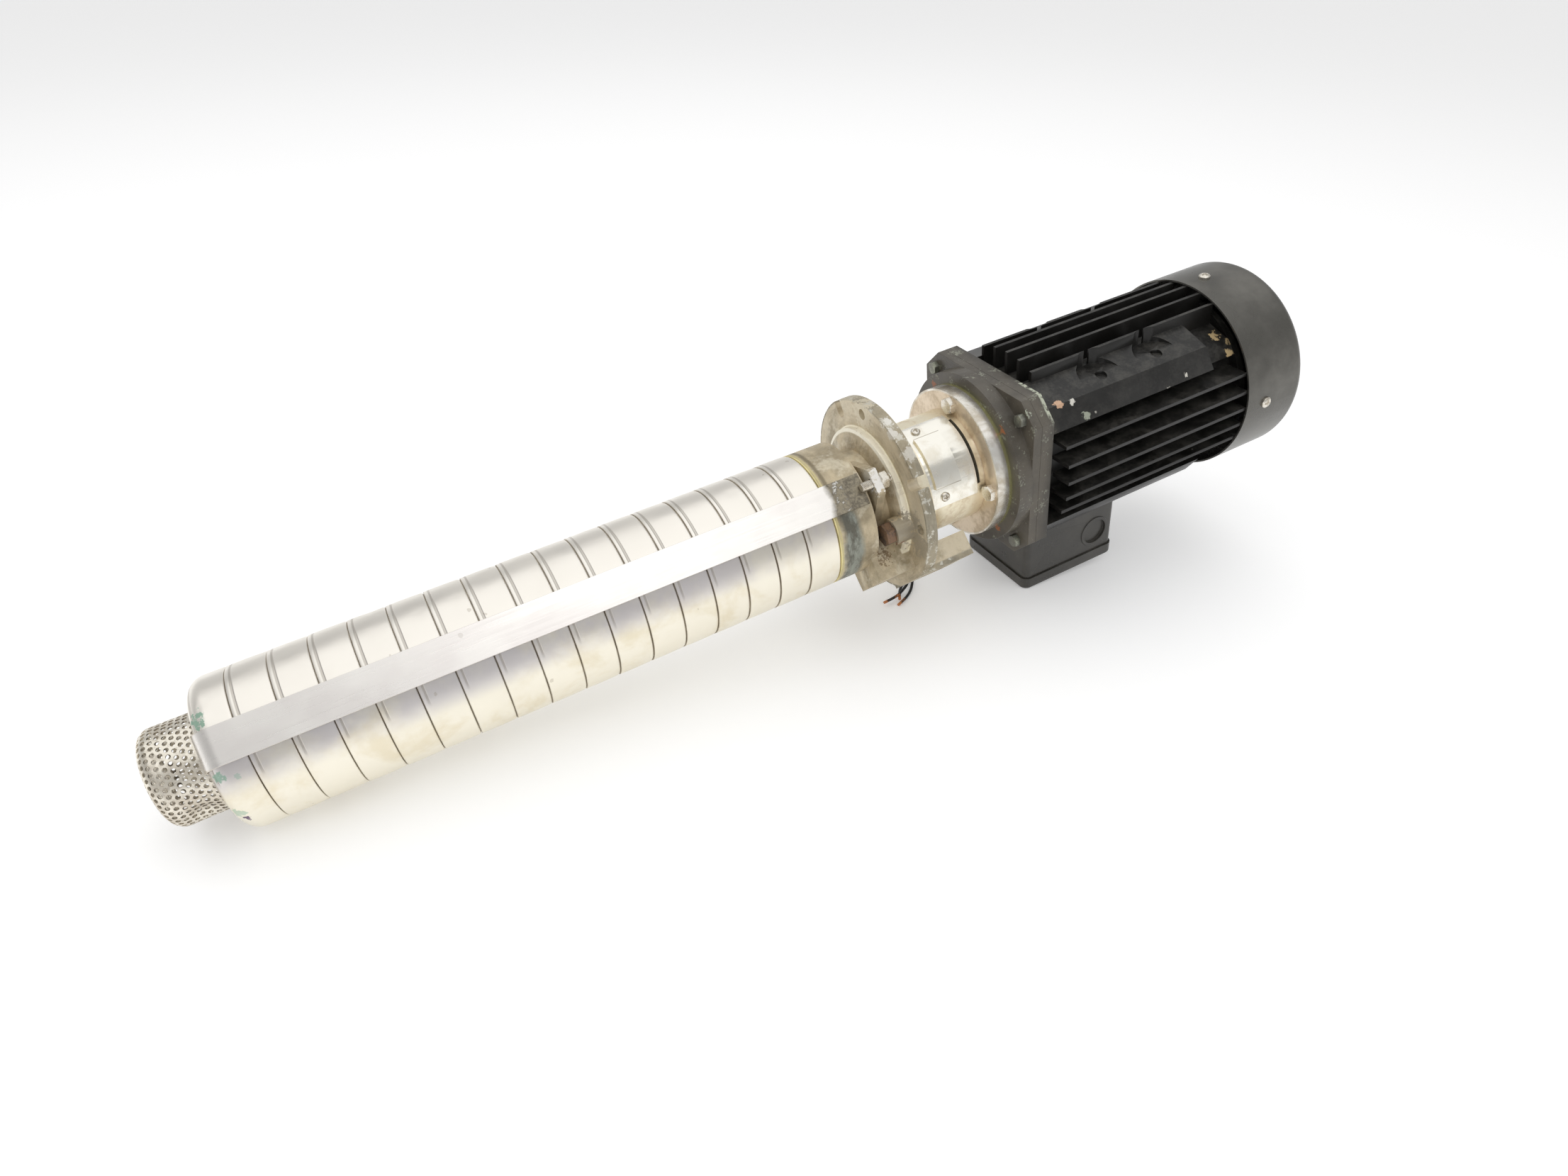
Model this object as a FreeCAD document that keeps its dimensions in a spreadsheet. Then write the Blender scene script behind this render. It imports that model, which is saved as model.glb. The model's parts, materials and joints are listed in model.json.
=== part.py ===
import FreeCAD, Part
import Sketcher
import math
import os

# Immersible multistage coolant pump, lying on its side as it does on a bench.
# Every piece is drawn in the pump's own axes: X runs along the shaft from the
# strainer to the motor and X = 0 is the face of the mounting flange that sits
# on the tank. One placement then leans the whole pump to the slope at which it
# rests on the end of its chamber stack and on the lid of its terminal box.

os.makedirs("parts", exist_ok=True)
doc = FreeCAD.newDocument("coolant_pump")
sheet = doc.addObject("Spreadsheet::Sheet", "Sizes")
sheet_rows = []
Vector = FreeCAD.Vector
X_AXIS = Vector(1, 0, 0)
Y_AXIS = Vector(0, 1, 0)
Z_AXIS = Vector(0, 0, 1)


class Size:
    """A length and the spreadsheet expression that gives it."""

    def __init__(self, value, text):
        self.value = float(value)
        self.text = text

    def joined(self, other, sign, value):
        return Size(value, "(%s %s %s)" % (self.text, sign, other.text))

    def __add__(self, other):
        other = as_size(other)
        return self.joined(other, "+", self.value + other.value)

    def __sub__(self, other):
        other = as_size(other)
        return self.joined(other, "-", self.value - other.value)

    def __mul__(self, other):
        other = as_size(other)
        return self.joined(other, "*", self.value * other.value)

    def __truediv__(self, other):
        other = as_size(other)
        return self.joined(other, "/", self.value / other.value)

    def __radd__(self, other):
        return as_size(other) + self

    def __rsub__(self, other):
        return as_size(other) - self

    def __rmul__(self, other):
        return as_size(other) * self

    def __neg__(self):
        return as_size(0) - self


def as_size(item):
    if isinstance(item, Size):
        return item
    return Size(item, "%.9f" % item)


def size(alias, value, note):
    """Put one driving size in the sheet and return it."""
    sheet_rows.append(alias)
    row = len(sheet_rows)
    sheet.set("A%d" % row, note)
    sheet.set("B%d" % row, str(value))
    sheet.setAlias("B%d" % row, alias)
    return Size(value, "Sizes." + alias)


# Tools reach this far past the faces they cut, and added metal into what it joins
overshoot = size("overshoot", 1.0, "cuts past a face")
merge = size("merge", 8.0, "added metal inside the head neck")

# Chamber stack
stage_count = 16
stage_pitch = size("stage_pitch", 27.0, "length of one chamber")
chamber_radius = size("chamber_radius", 55.5, "outside of a chamber")
sheet_wall = size("sheet_wall", 1.5, "deep drawn sheet")
spigot_length = size("spigot_length", 2.0, "step that centres the next chamber")
seat_clearance = size("seat_clearance", 0.05, "play of a centring step")
shoulder_bevel = size("shoulder_bevel", 0.9, "bevel beside each joint")
neck_radius = size("neck_radius", 19.4, "hole in a chamber floor")
guide_inner = size("guide_inner", 24.0, "inner end of a guide vane")
guide_length = size("guide_length", 10.5, "guide vane along the shaft")
inlet_length = size("inlet_length", 27.0, "inlet part")
inlet_bore = size("inlet_bore", 24.0, "suction opening")
inlet_rounding = size("inlet_rounding", 12.0, "rounded end of the inlet part")
strainer_radius = size("strainer_radius", 35.5, "strainer basket")
strainer_length = size("strainer_length", 39.5, "strainer basket")
strainer_wall = size("strainer_wall", 1.0, "strainer sheet")
strainer_rounding = size("strainer_rounding", 9.0, "rounded end of the strainer")

# Impellers and shafts
pump_shaft_radius = size("pump_shaft_radius", 8.0, "pump shaft")
hub_radius = size("hub_radius", 11.5, "impeller hub")
eye_radius = size("eye_radius", 19.0, "outside of the impeller eye")
running_gap = size("running_gap", 0.4, "turning pieces beside fixed ones")
shroud_wall = size("shroud_wall", 1.2, "impeller shroud")
impeller_radius = size("impeller_radius", 45.0, "impeller")
impeller_width = size("impeller_width", 6.0, "between the two shrouds")
vane_thickness = size("vane_thickness", 1.2, "vanes")
impeller_turn = 11.0
impeller_sweep = 60.0
guide_sweep = -35.0
vane_count = 6
shaft_overhang = size("shaft_overhang", 12.0, "shaft below the first chamber")
motor_shaft_radius = size("motor_shaft_radius", 12.0, "motor shaft")
shaft_end_gap = size("shaft_end_gap", 1.0, "between the two shafts")
coupling_middle = size("coupling_middle", 50.5, "where the shafts meet")
coupling_length = size("coupling_length", 44.0, "split coupling")
coupling_radius = size("coupling_radius", 27.0, "split coupling")
coupling_split = size("coupling_split", 2.0, "gap between the coupling halves")
coupling_screw_radius = size("coupling_screw_radius", 3.0, "coupling screws")
coupling_screw_half = size("coupling_screw_half", 16.0, "half the length of a coupling screw")

# Pump head
block_turn = 45.0
gasket_thickness = size("gasket_thickness", 1.0, "head gasket")
head_length = size("head_length", 61.0, "gasket to flange face")
collar_length = size("collar_length", 33.5, "collar that the straps pull on")
head_neck_radius = size("head_neck_radius", 44.0, "neck under the flange")
water_space_depth = size("water_space_depth", 26.0, "chamber inside the head")
water_space_radius = size("water_space_radius", 50.0, "chamber inside the head")
flange_radius = size("flange_radius", 83.5, "mounting flange")
flange_thickness = size("flange_thickness", 9.5, "mounting flange")
flange_root_radius = size("flange_root_radius", 60.0, "ring that enters the tank")
flange_root_rise = size("flange_root_rise", 5.0, "ring that enters the tank")
flange_root_length = size("flange_root_length", 9.0, "slope under the flange")
bolt_circle_radius = size("bolt_circle_radius", 74.0, "flange holes")
flange_hole_radius = size("flange_hole_radius", 4.5, "flange holes")
flange_slot_radius = size("flange_slot_radius", 5.0, "half width of the open slots")
flange_hole_turn = 5.0
flange_slot_turn = 29.0
block_reach = size("block_reach", 80.0, "face of the discharge block")
block_inner = size("block_inner", 59.0, "back of the discharge block")
block_half_width = size("block_half_width", 32.0, "discharge block")
block_height = size("block_height", 47.5, "discharge block above the seat")
port_station = size("port_station", 28.0, "discharge port above the seat")
port_radius = size("port_radius", 15.3, "discharge thread")
port_depth = size("port_depth", 17.0, "discharge thread")
passage_radius = size("passage_radius", 6.5, "passage to the port")
passage_root = size("passage_root", 40.0, "passage start from the axis")
passage_depth = size("passage_depth", 23.0, "passage start above the gasket")
passage_entry = size("passage_entry", 8.0, "passage end inside the port")
bulge_reach = size("bulge_reach", 71.0, "passage wall below the flange")
bulge_start = size("bulge_start", 27.5, "passage wall above the gasket")
bulge_half_width = size("bulge_half_width", 22.0, "passage wall below the flange")
seal_bore = size("seal_bore", 14.0, "seal housing")
seal_bore_length = size("seal_bore_length", 20.0, "seal housing")
seal_seat_length = size("seal_seat_length", 7.0, "fixed seal ring")
seal_ring_radius = size("seal_ring_radius", 12.5, "turning seal ring")
seal_web = size("seal_web", 5.0, "wall above the seal")
lantern_bore = size("lantern_bore", 17.0, "recess above the seal")
plug_radius = size("plug_radius", 11.0, "filling plug boss")
plug_circle = size("plug_circle", 55.0, "filling plug boss from the axis")
plug_boss_length = size("plug_boss_length", 15.5, "filling plug boss")
plug_length = size("plug_length", 8.0, "filling plug head")
plug_flats = size("plug_flats", 16.5, "filling plug across flats")
plug_turn = 45.0

# Tension straps
strap_width = size("strap_width", 26.0, "tension strap")
strap_thickness = size("strap_thickness", 1.5, "tension strap")
strap_hook = size("strap_hook", 7.0, "strap end under the inlet part")
strap_end = size("strap_end", 29.5, "strap end below the flange face")
stud_radius = size("stud_radius", 4.0, "tension stud")
stud_play = size("stud_play", 0.3, "stud in its lug")
stud_length = size("stud_length", 26.5, "tension stud")
stud_end = size("stud_end", 7.0, "stud end below the flange face")
lug_length = size("lug_length", 7.0, "lug that the stud passes")
lug_gap = size("lug_gap", 5.0, "strap end to the lug")
lug_half_width = size("lug_half_width", 10.0, "lug that the stud passes, at its top")
lug_foot_half = size("lug_foot_half", 26.0, "lug that the stud passes, at its foot")
lug_cover = size("lug_cover", 5.0, "lug metal outside the stud")
nut_flats = size("nut_flats", 13.0, "tension nut across flats")
nut_height = size("nut_height", 6.5, "tension nut")

# Motor stool and guards
stool_base_radius = size("stool_base_radius", 57.0, "stool foot")
stool_base = size("stool_base", 15.5, "stool foot")
stool_radius = size("stool_radius", 48.5, "stool pillars, outside")
stool_bore = size("stool_bore", 41.0, "stool pillars, inside")
stool_length = size("stool_length", 72.0, "stool foot to the top ring")
ring_radius = size("ring_radius", 66.0, "top ring")
ring_thickness = size("ring_thickness", 14.0, "top ring")
window_half_width = size("window_half_width", 29.0, "coupling window")
window_margin = size("window_margin", 5.0, "window to the foot and ring")
ring_bolt_circle = size("ring_bolt_circle", 56.5, "motor bolts from the axis")
ring_bolt_flats = size("ring_bolt_flats", 13.0, "motor bolts across flats")
ring_bolt_head = size("ring_bolt_head", 5.3, "motor bolt heads")
ring_bolt_radius = size("ring_bolt_radius", 4.0, "motor bolts")
ring_bolt_length = size("ring_bolt_length", 26.0, "motor bolts")
guard_thickness = size("guard_thickness", 1.0, "coupling guard sheet")
guard_length = size("guard_length", 47.0, "coupling guard")
guard_station = size("guard_station", 26.0, "coupling guard above the seat")
guard_angle = 92.0
guard_rise = size("guard_rise", 4.0, "raised middle of the guard")
guard_rise_angle = 50.0
guard_margin = size("guard_margin", 6.0, "flat end of the guard by the flange")
guard_far_margin = size("guard_far_margin", 17.0, "flat end of the guard by the motor")
guard_screw_angle = 36.0
guard_screw_head = size("guard_screw_head", 4.0, "guard screw head radius")
guard_screw_radius = size("guard_screw_radius", 2.0, "guard screw shank")
guard_screw_rise = size("guard_screw_rise", 2.4, "guard screw head height")
guard_screw_length = size("guard_screw_length", 6.0, "guard screw shank")
guard_screw_station = size("guard_screw_station", 15.0, "screws along the guard")

# Motor
spigot_radius = size("spigot_radius", 47.5, "motor spigot")
spigot_depth = size("spigot_depth", 4.0, "motor spigot")
spigot_play = size("spigot_play", 1.0, "recess below the motor spigot")
bearing_stop = size("bearing_stop", 4.0, "shoulder that holds the front bearing")
shaft_shoulder = size("shaft_shoulder", 3.0, "thicker middle of the motor shaft")
shield_radius = size("shield_radius", 76.0, "front shield, round part")
shield_round = size("shield_round", 13.0, "front shield, round part")
shield_frame = size("shield_frame", 8.0, "front shield, square part")
frame_half_side = size("frame_half_side", 74.0, "square frames")
frame_corner = size("frame_corner", 92.0, "square frames across a corner")
corner_bolt_circle = size("corner_bolt_circle", 83.5, "tie bolts from the axis")
corner_bolt_radius = size("corner_bolt_radius", 3.0, "tie bolts")
corner_bolt_head = size("corner_bolt_head", 5.0, "tie bolt heads")
corner_bolt_flats = size("corner_bolt_flats", 10.0, "tie bolts across flats")
corner_bolt_grip = size("corner_bolt_grip", 22.0, "tie bolt in the metal")
housing_length = size("housing_length", 223.0, "stator housing")
housing_front_frame = size("housing_front_frame", 12.0, "square end of the housing")
housing_radius = size("housing_radius", 66.0, "housing between the fins")
stator_radius = size("stator_radius", 60.0, "stator core")
stator_bore = size("stator_bore", 36.0, "stator core")
stator_length = size("stator_length", 130.0, "stator core")
winding_outer = size("winding_outer", 56.0, "winding heads")
winding_inner = size("winding_inner", 40.0, "winding heads")
winding_length = size("winding_length", 26.0, "winding heads")
rotor_gap = size("rotor_gap", 0.4, "air gap")
fin_tip = size("fin_tip", 86.0, "fin tips from the axis")
fin_thickness = size("fin_thickness", 3.2, "fins")
fin_pitch = size("fin_pitch", 15.6, "fins")
fin_gap = size("fin_gap", 9.0, "frame to the fins")
fin_root = size("fin_root", 3.0, "fins inside the barrel")
outer_fin = 2
rail_reach = size("rail_reach", 87.0, "ridge of the corner rails from the axis")
rail_side = size("rail_side", 73.5, "outer edge of the corner rails, across")
rail_edge = size("rail_edge", 44.5, "outer edge of the corner rails, up")
rail_shoulder = size("rail_shoulder", 71.5, "corner rails where they meet a fin, up")
rail_length = size("rail_length", 185.0, "high part of the corner rails")
rail_step = size("rail_step", 9.0, "rest of the corner rails below the high part")
pad_across = size("pad_across", 49.5, "lifting pads from the middle")
pad_height = size("pad_height", 66.0, "lifting pads from the axis")
pad_tool = size("pad_tool", 20.0, "round cutter that faces the lifting pads")
pad_rise = size("pad_rise", 30.0, "depth of that cut")
pad_station = size("pad_station", 80.0, "first lifting pad along the housing")
pad_spacing = size("pad_spacing", 60.0, "lifting pads along the housing")
dimple_radius = size("dimple_radius", 5.0, "round recess in a lifting pad")
dimple_depth = size("dimple_depth", 3.0, "round recess in a lifting pad")
box_station = size("box_station", 134.0, "terminal box above the seat")
box_length = size("box_length", 102.5, "terminal box")
box_half_width = size("box_half_width", 43.5, "terminal box")
box_top = size("box_top", 79.0, "terminal box from the axis")
box_depth = size("box_depth", 47.5, "terminal box")
box_wall = size("box_wall", 3.5, "terminal box")
box_corner = size("box_corner", 6.0, "terminal box corners")
box_floor = size("box_floor", 4.0, "terminal box floor on the motor")
lid_thickness = size("lid_thickness", 12.0, "terminal box lid")
lid_lip = size("lid_lip", 1.5, "lid past the box")
lid_rounding = size("lid_rounding", 3.0, "lid edges")
pad_margin = size("pad_margin", 4.0, "motor pad inside the box outline")
pad_root = size("pad_root", 49.5, "motor pad from the axis, inside the barrel")
entry_inset = size("entry_inset", 23.0, "cable entries from the end of the box")
entry_depth = size("entry_depth", 25.7, "cable entries below the box top")
entry_radius = size("entry_radius", 12.5, "cable entries")
entry_rim = size("entry_rim", 1.0, "raised rim of the blank entry")
entry_rim_width = size("entry_rim_width", 3.0, "raised rim of the blank entry")
gland_radius = size("gland_radius", 14.0, "cable gland hexagon")
gland_length = size("gland_length", 20.0, "cable gland")
gland_dome = size("gland_dome", 8.0, "rounded end of the gland")
gland_step = size("gland_step", 2.0, "cap inside the gland hexagon")
gland_lip = size("gland_lip", 3.0, "gland end around the cable")
cable_grip = size("cable_grip", 10.0, "cable inside the gland")
cable_radius = size("cable_radius", 4.5, "supply cable")
board_length = size("board_length", 58.0, "terminal board")
board_half_width = size("board_half_width", 20.0, "terminal board")
board_height = size("board_height", 9.0, "terminal board")
terminal_radius = size("terminal_radius", 2.5, "terminals")
terminal_height = size("terminal_height", 11.0, "terminals")
terminal_pitch = size("terminal_pitch", 17.0, "terminals")
lid_screw_radius = size("lid_screw_radius", 2.5, "lid screws")
lid_screw_head = size("lid_screw_head", 4.5, "lid screw heads")
lid_screw_inset = size("lid_screw_inset", 8.0, "lid screws from the edge")
lid_screw_rise = size("lid_screw_rise", 3.5, "lid screw head height")
lid_screw_length = size("lid_screw_length", 16.0, "lid screw shank")
lid_screw_sink = size("lid_screw_sink", 5.0, "lid screws below the lid face")
lid_screw_play = size("lid_screw_play", 0.5, "around the lid screw heads")
lid_post_half = size("lid_post_half", 6.0, "corner posts for the lid screws")
rear_shield_length = size("rear_shield_length", 14.0, "rear shield")
rear_shield_wall = size("rear_shield_wall", 6.0, "rear shield")
rear_shield_lip = size("rear_shield_lip", 8.0, "rear shield past the barrel")
bearing_outer_radius = size("bearing_outer_radius", 26.0, "ball bearing")
bearing_inner_radius = size("bearing_inner_radius", 16.0, "inner ring of a bearing")
bearing_width = size("bearing_width", 15.0, "ball bearing")
bearing_seal_gap = size("bearing_seal_gap", 0.3, "bearing seal to the inner ring")
bearing_wall = size("bearing_wall", 6.0, "metal around a bearing")
cover_radius = size("cover_radius", 88.0, "fan cover")
cover_wall = size("cover_wall", 1.5, "fan cover")
cover_length = size("cover_length", 68.0, "fan cover")
cover_overlap = size("cover_overlap", 4.0, "cover over the housing")
cover_rounding = size("cover_rounding", 9.0, "fan cover edge")
grille_inner = size("grille_inner", 22.0, "grille slots")
grille_outer = size("grille_outer", 70.0, "grille slots")
grille_slot = size("grille_slot", 5.0, "grille slots")
grille_count = 20
fan_radius = size("fan_radius", 68.0, "fan")
fan_station = size("fan_station", 6.0, "fan behind the rear shield")
fan_hub = size("fan_hub", 20.0, "fan hub")
fan_width = size("fan_width", 24.0, "fan")
fan_disc = size("fan_disc", 3.0, "fan disc")
fan_blades = 9
cover_screw_radius = size("cover_screw_radius", 2.5, "fan cover screws")
cover_screw_head = size("cover_screw_head", 5.0, "fan cover screw heads")
cover_screw_rise = size("cover_screw_rise", 3.0, "fan cover screw head height")
cover_screw_length = size("cover_screw_length", 10.0, "fan cover screw shank")
cover_screw_station = size("cover_screw_station", 22.0, "screws behind the cover rim")
cover_foot = size("cover_foot", 9.0, "feet that hold the fan cover, half width")
cover_foot_length = size("cover_foot_length", 24.0, "feet that hold the fan cover")
fan_play = size("fan_play", 4.0, "around the fan")

# The stator core sits in the middle of its housing
stator_station = (housing_length - stator_length) / 2

# Places along the shaft, measured from the flange face
head_start = -head_length
stack_end = head_start - gasket_thickness
stack_start = stack_end - stage_pitch * stage_count
inlet_start = stack_start - inlet_length
flange_top = flange_thickness
ring_start = flange_top + stool_length
motor_face = ring_start + ring_thickness
frame_start = motor_face + shield_round
housing_start = frame_start + shield_frame
housing_end = housing_start + housing_length
rear_shield_end = housing_end + rear_shield_length
cover_start = housing_end - cover_overlap
lid_face = box_top + box_depth + lid_thickness
PUMP_TURN = 180.0 + block_turn

# The slope at which the pump rests on its rounded inlet end and on the lid edge
low_run = (box_station + lid_rounding - lid_lip - inlet_start - inlet_rounding).value
low_drop = (lid_face - lid_rounding - chamber_radius + inlet_rounding).value
lean_angle = math.atan2(low_drop, low_run)
lean_angle -= math.asin((inlet_rounding - lid_rounding).value / math.hypot(low_run, low_drop))
LEAN = FreeCAD.Placement(Vector(), FreeCAD.Rotation(Y_AXIS, -math.degrees(lean_angle)))

exported = []


def place(item, station=0.0, turn=0.0):
    """Put a piece at its station along the leaning shaft, turned about it."""
    local = FreeCAD.Placement(Vector(as_size(station).value, 0, 0), FreeCAD.Rotation(X_AXIS, turn))
    item.Placement = LEAN.multiply(local)
    exported.append(item)
    return item


def origin_plane(body, role):
    return [plane for plane in body.Origin.OriginFeatures if plane.Role == role][0]


def bind(sketch, constraint, length):
    index = sketch.addConstraint(constraint)
    sketch.setExpression("Constraints[%d]" % index, length.text)


def draw_polygon(sketch, points):
    """A closed outline whose corners are all tied to the sheet."""
    points = [(as_size(across), as_size(up)) for across, up in points]
    first = sketch.GeometryCount
    count = len(points)
    corners = [Vector(across.value, up.value, 0) for across, up in points]
    for index in range(count):
        edge = Part.LineSegment(corners[index], corners[(index + 1) % count])
        sketch.addGeometry(edge, False)
    for index in range(count):
        follower = first + (index + 1) % count
        sketch.addConstraint(Sketcher.Constraint("Coincident", first + index, 2, follower, 1))
    for index, (across, up) in enumerate(points):
        corner = first + index
        bind(sketch, Sketcher.Constraint("DistanceX", -1, 1, corner, 1, across.value), across)
        bind(sketch, Sketcher.Constraint("DistanceY", -1, 1, corner, 1, up.value), up)


def draw_circle(sketch, across, up, radius):
    across, up, radius = as_size(across), as_size(up), as_size(radius)
    centre = Vector(across.value, up.value, 0)
    index = sketch.addGeometry(Part.Circle(centre, Z_AXIS, radius.value), False)
    bind(sketch, Sketcher.Constraint("DistanceX", -1, 1, index, 3, across.value), across)
    bind(sketch, Sketcher.Constraint("DistanceY", -1, 1, index, 3, up.value), up)
    bind(sketch, Sketcher.Constraint("Radius", index, radius.value), radius)


def draw(body, role, loops, offset=0.0):
    """A sketch on one of the body's planes; a loop is a corner list or a circle."""
    sketch = body.newObject("Sketcher::SketchObject", body.Label + "_sketch")
    sketch.AttachmentSupport = (origin_plane(body, role), "")
    sketch.MapMode = "FlatFace"
    offset = as_size(offset)
    sketch.AttachmentOffset = FreeCAD.Placement(Vector(0, 0, offset.value), FreeCAD.Rotation())
    sketch.setExpression("AttachmentOffset.Base.z", offset.text)
    for loop in loops:
        if isinstance(loop, list):
            draw_polygon(sketch, loop)
        else:
            draw_circle(sketch, *loop)
    return sketch


def settle(body, feature, change):
    """Recompute and make sure that the feature added or removed metal."""
    before = body.Shape.Volume if change else 0.0
    body.Tip = feature
    doc.recompute()
    if "Invalid" in feature.State:
        raise ValueError("%s failed on %s" % (feature.Label, body.Label))
    gained = body.Shape.Volume - before
    if change and gained * change <= 0:
        raise ValueError("%s changed nothing on %s" % (feature.Label, body.Label))
    return feature


def revolve(body, points, kind="PartDesign::Revolution"):
    sketch = draw(body, "XY_Plane", [points])
    change = 0
    if kind == "PartDesign::Groove":
        change = -1
    feature = body.newObject(kind, body.Label + "_turned")
    feature.Profile = sketch
    feature.ReferenceAxis = (sketch, ["H_Axis"])
    feature.Angle = 360
    return settle(body, feature, change)


def turned(label, points):
    body = doc.addObject("PartDesign::Body", label)
    revolve(body, points)
    return body


def pad(body, role, loops, offset, length):
    change = 1
    if not body.Tip:
        change = 0
    sketch = draw(body, role, loops, offset)
    feature = body.newObject("PartDesign::Pad", body.Label + "_pad")
    feature.Profile = sketch
    feature.setExpression("Length", as_size(length).text)
    return settle(body, feature, change)


def padded(label, role, loops, offset, length):
    body = doc.addObject("PartDesign::Body", label)
    pad(body, role, loops, offset, length)
    return body


def pocket(body, role, loops, offset, length):
    """Cut along the plane's own direction from the offset."""
    sketch = draw(body, role, loops, offset)
    feature = body.newObject("PartDesign::Pocket", body.Label + "_pocket")
    feature.Profile = sketch
    feature.setExpression("Length", as_size(length).text)
    feature.Reversed = True
    return settle(body, feature, -1)


def polar(body, feature, count, angle=360.0):
    pattern = body.newObject("PartDesign::PolarPattern", body.Label + "_pattern")
    pattern.Originals = [feature]
    pattern.Axis = (origin_plane(body, "X_Axis"), [""])
    pattern.Angle = angle
    pattern.Occurrences = count
    change = 1
    if feature.TypeId == "PartDesign::Pocket":
        change = -1
    return settle(body, pattern, change)


def round_edges(body, radius, wanted):
    """Round each edge of the body that the given test accepts."""
    base = body.Tip
    names = []
    for index, edge in enumerate(base.Shape.Edges):
        if wanted(edge):
            names.append("Edge%d" % (index + 1))
    feature = body.newObject("PartDesign::Fillet", body.Label + "_rounding")
    feature.Base = (base, names)
    feature.setExpression("Radius", as_size(radius).text)
    return settle(body, feature, 0)


def rim(station, radius):
    """A test for the circular edge at a station and radius."""
    station, radius = as_size(station).value, as_size(radius).value

    def wanted(edge):
        curve = edge.Curve
        if not isinstance(curve, Part.Circle):
            return False
        return abs(curve.Center.x - station) < 0.01 and abs(curve.Radius - radius) < 0.01

    return wanted


def rectangle(left, low, right, high):
    return [(left, low), (right, low), (right, high), (left, high)]


def gather(label, items):
    """Like pieces that stay separate solids in one node."""
    group = doc.addObject("Part::Compound", label)
    group.Links = items
    return group


def set_length(item, name, length):
    length = as_size(length)
    setattr(item, name, length.value)
    item.setExpression(name, length.text)


def cylinder(label, radius, length):
    item = doc.addObject("Part::Cylinder", label)
    set_length(item, "Radius", radius)
    set_length(item, "Height", length)
    return item


def hexagon(label, flats, height):
    item = doc.addObject("Part::Prism", label)
    item.Polygon = 6
    set_length(item, "Circumradius", as_size(flats) / math.sqrt(3.0))
    set_length(item, "Height", height)
    return item


def fused(label, items):
    item = doc.addObject("Part::MultiFuse", label)
    item.Shapes = items
    return item


def stand(item, position, direction):
    """Stand a primitive, drawn along Z, at a position and along a direction."""
    spot = Vector(*[as_size(part).value for part in position])
    item.Placement = FreeCAD.Placement(spot, FreeCAD.Rotation(Z_AXIS, direction))
    return item


def bolt(label, head, shank, position, direction):
    """Head and shank with their shared face at the position; direction is that of the shank."""
    spot = Vector(*[as_size(part).value for part in position])
    direction = Vector(direction)
    stand(head, spot - direction * head.Height.Value, direction)
    stand(shank, spot, direction)
    return fused(label, [head, shank])


def around(angle, radius):
    """A point at a radius, turned about the shaft from the local Y axis."""
    turn = math.radians(angle)
    radius = as_size(radius).value
    return radius * math.cos(turn), radius * math.sin(turn)


def blade(inner, outer, sweep, thickness, steps=3):
    """Corners of a swept blade between two radii."""
    near = []
    far = []
    for index in range(steps + 1):
        share = index / steps
        radius = inner + (outer - inner) * share
        turn = math.radians(sweep) * share
        across = math.cos(turn)
        up = math.sin(turn)
        near.append((radius * across, radius * up))
        far.append((radius * across - thickness * up, radius * up + thickness * across))
    return near + far[::-1]


def make_strainer():
    body = turned("strainer", [
        (0, 0), (0, strainer_radius), (strainer_length, strainer_radius),
        (strainer_length, strainer_radius - strainer_wall),
        (strainer_wall, strainer_radius - strainer_wall), (strainer_wall, 0)])
    round_edges(body, strainer_rounding, rim(0, strainer_radius))
    inner = strainer_rounding - strainer_wall
    round_edges(body, inner, rim(strainer_wall, strainer_radius - strainer_wall))
    place(body, inlet_start - strainer_length)


def floor_corners(length, bevel):
    """The end of a cup that carries its floor and the step for the next cup."""
    inner = chamber_radius - sheet_wall
    step = inner - seat_clearance
    deep = chamber_radius - sheet_wall * 2
    return [
        (length - bevel, chamber_radius), (length, chamber_radius - bevel), (length, step),
        (length + spigot_length, step), (length + spigot_length, neck_radius),
        (length + spigot_length - sheet_wall, neck_radius),
        (length + spigot_length - sheet_wall, deep),
        (length - sheet_wall, deep), (length - sheet_wall, inner)]


def make_inlet():
    inner = chamber_radius - sheet_wall
    corners = [(0, inlet_bore), (0, chamber_radius)]
    corners += floor_corners(inlet_length, shoulder_bevel)
    corners += [(sheet_wall, inner), (sheet_wall, inlet_bore)]
    body = turned("inlet_part", corners)
    round_edges(body, inlet_rounding, rim(0, chamber_radius))
    round_edges(body, inlet_rounding - sheet_wall, rim(sheet_wall, inner))
    place(body, inlet_start)


def make_chamber(number):
    inner = chamber_radius - sheet_wall
    corners = [(0, inner), (0, chamber_radius)]
    corners += floor_corners(stage_pitch, shoulder_bevel)
    body = turned("chamber_%02d" % (number + 1), corners)
    floor = stage_pitch + spigot_length - sheet_wall
    vane = blade(guide_inner, chamber_radius - sheet_wall * 1.5, guide_sweep, vane_thickness)
    first = pad(body, "YZ_Plane", [vane], floor - guide_length, guide_length)
    polar(body, first, vane_count)
    place(body, stack_start + stage_pitch * number)


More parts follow.
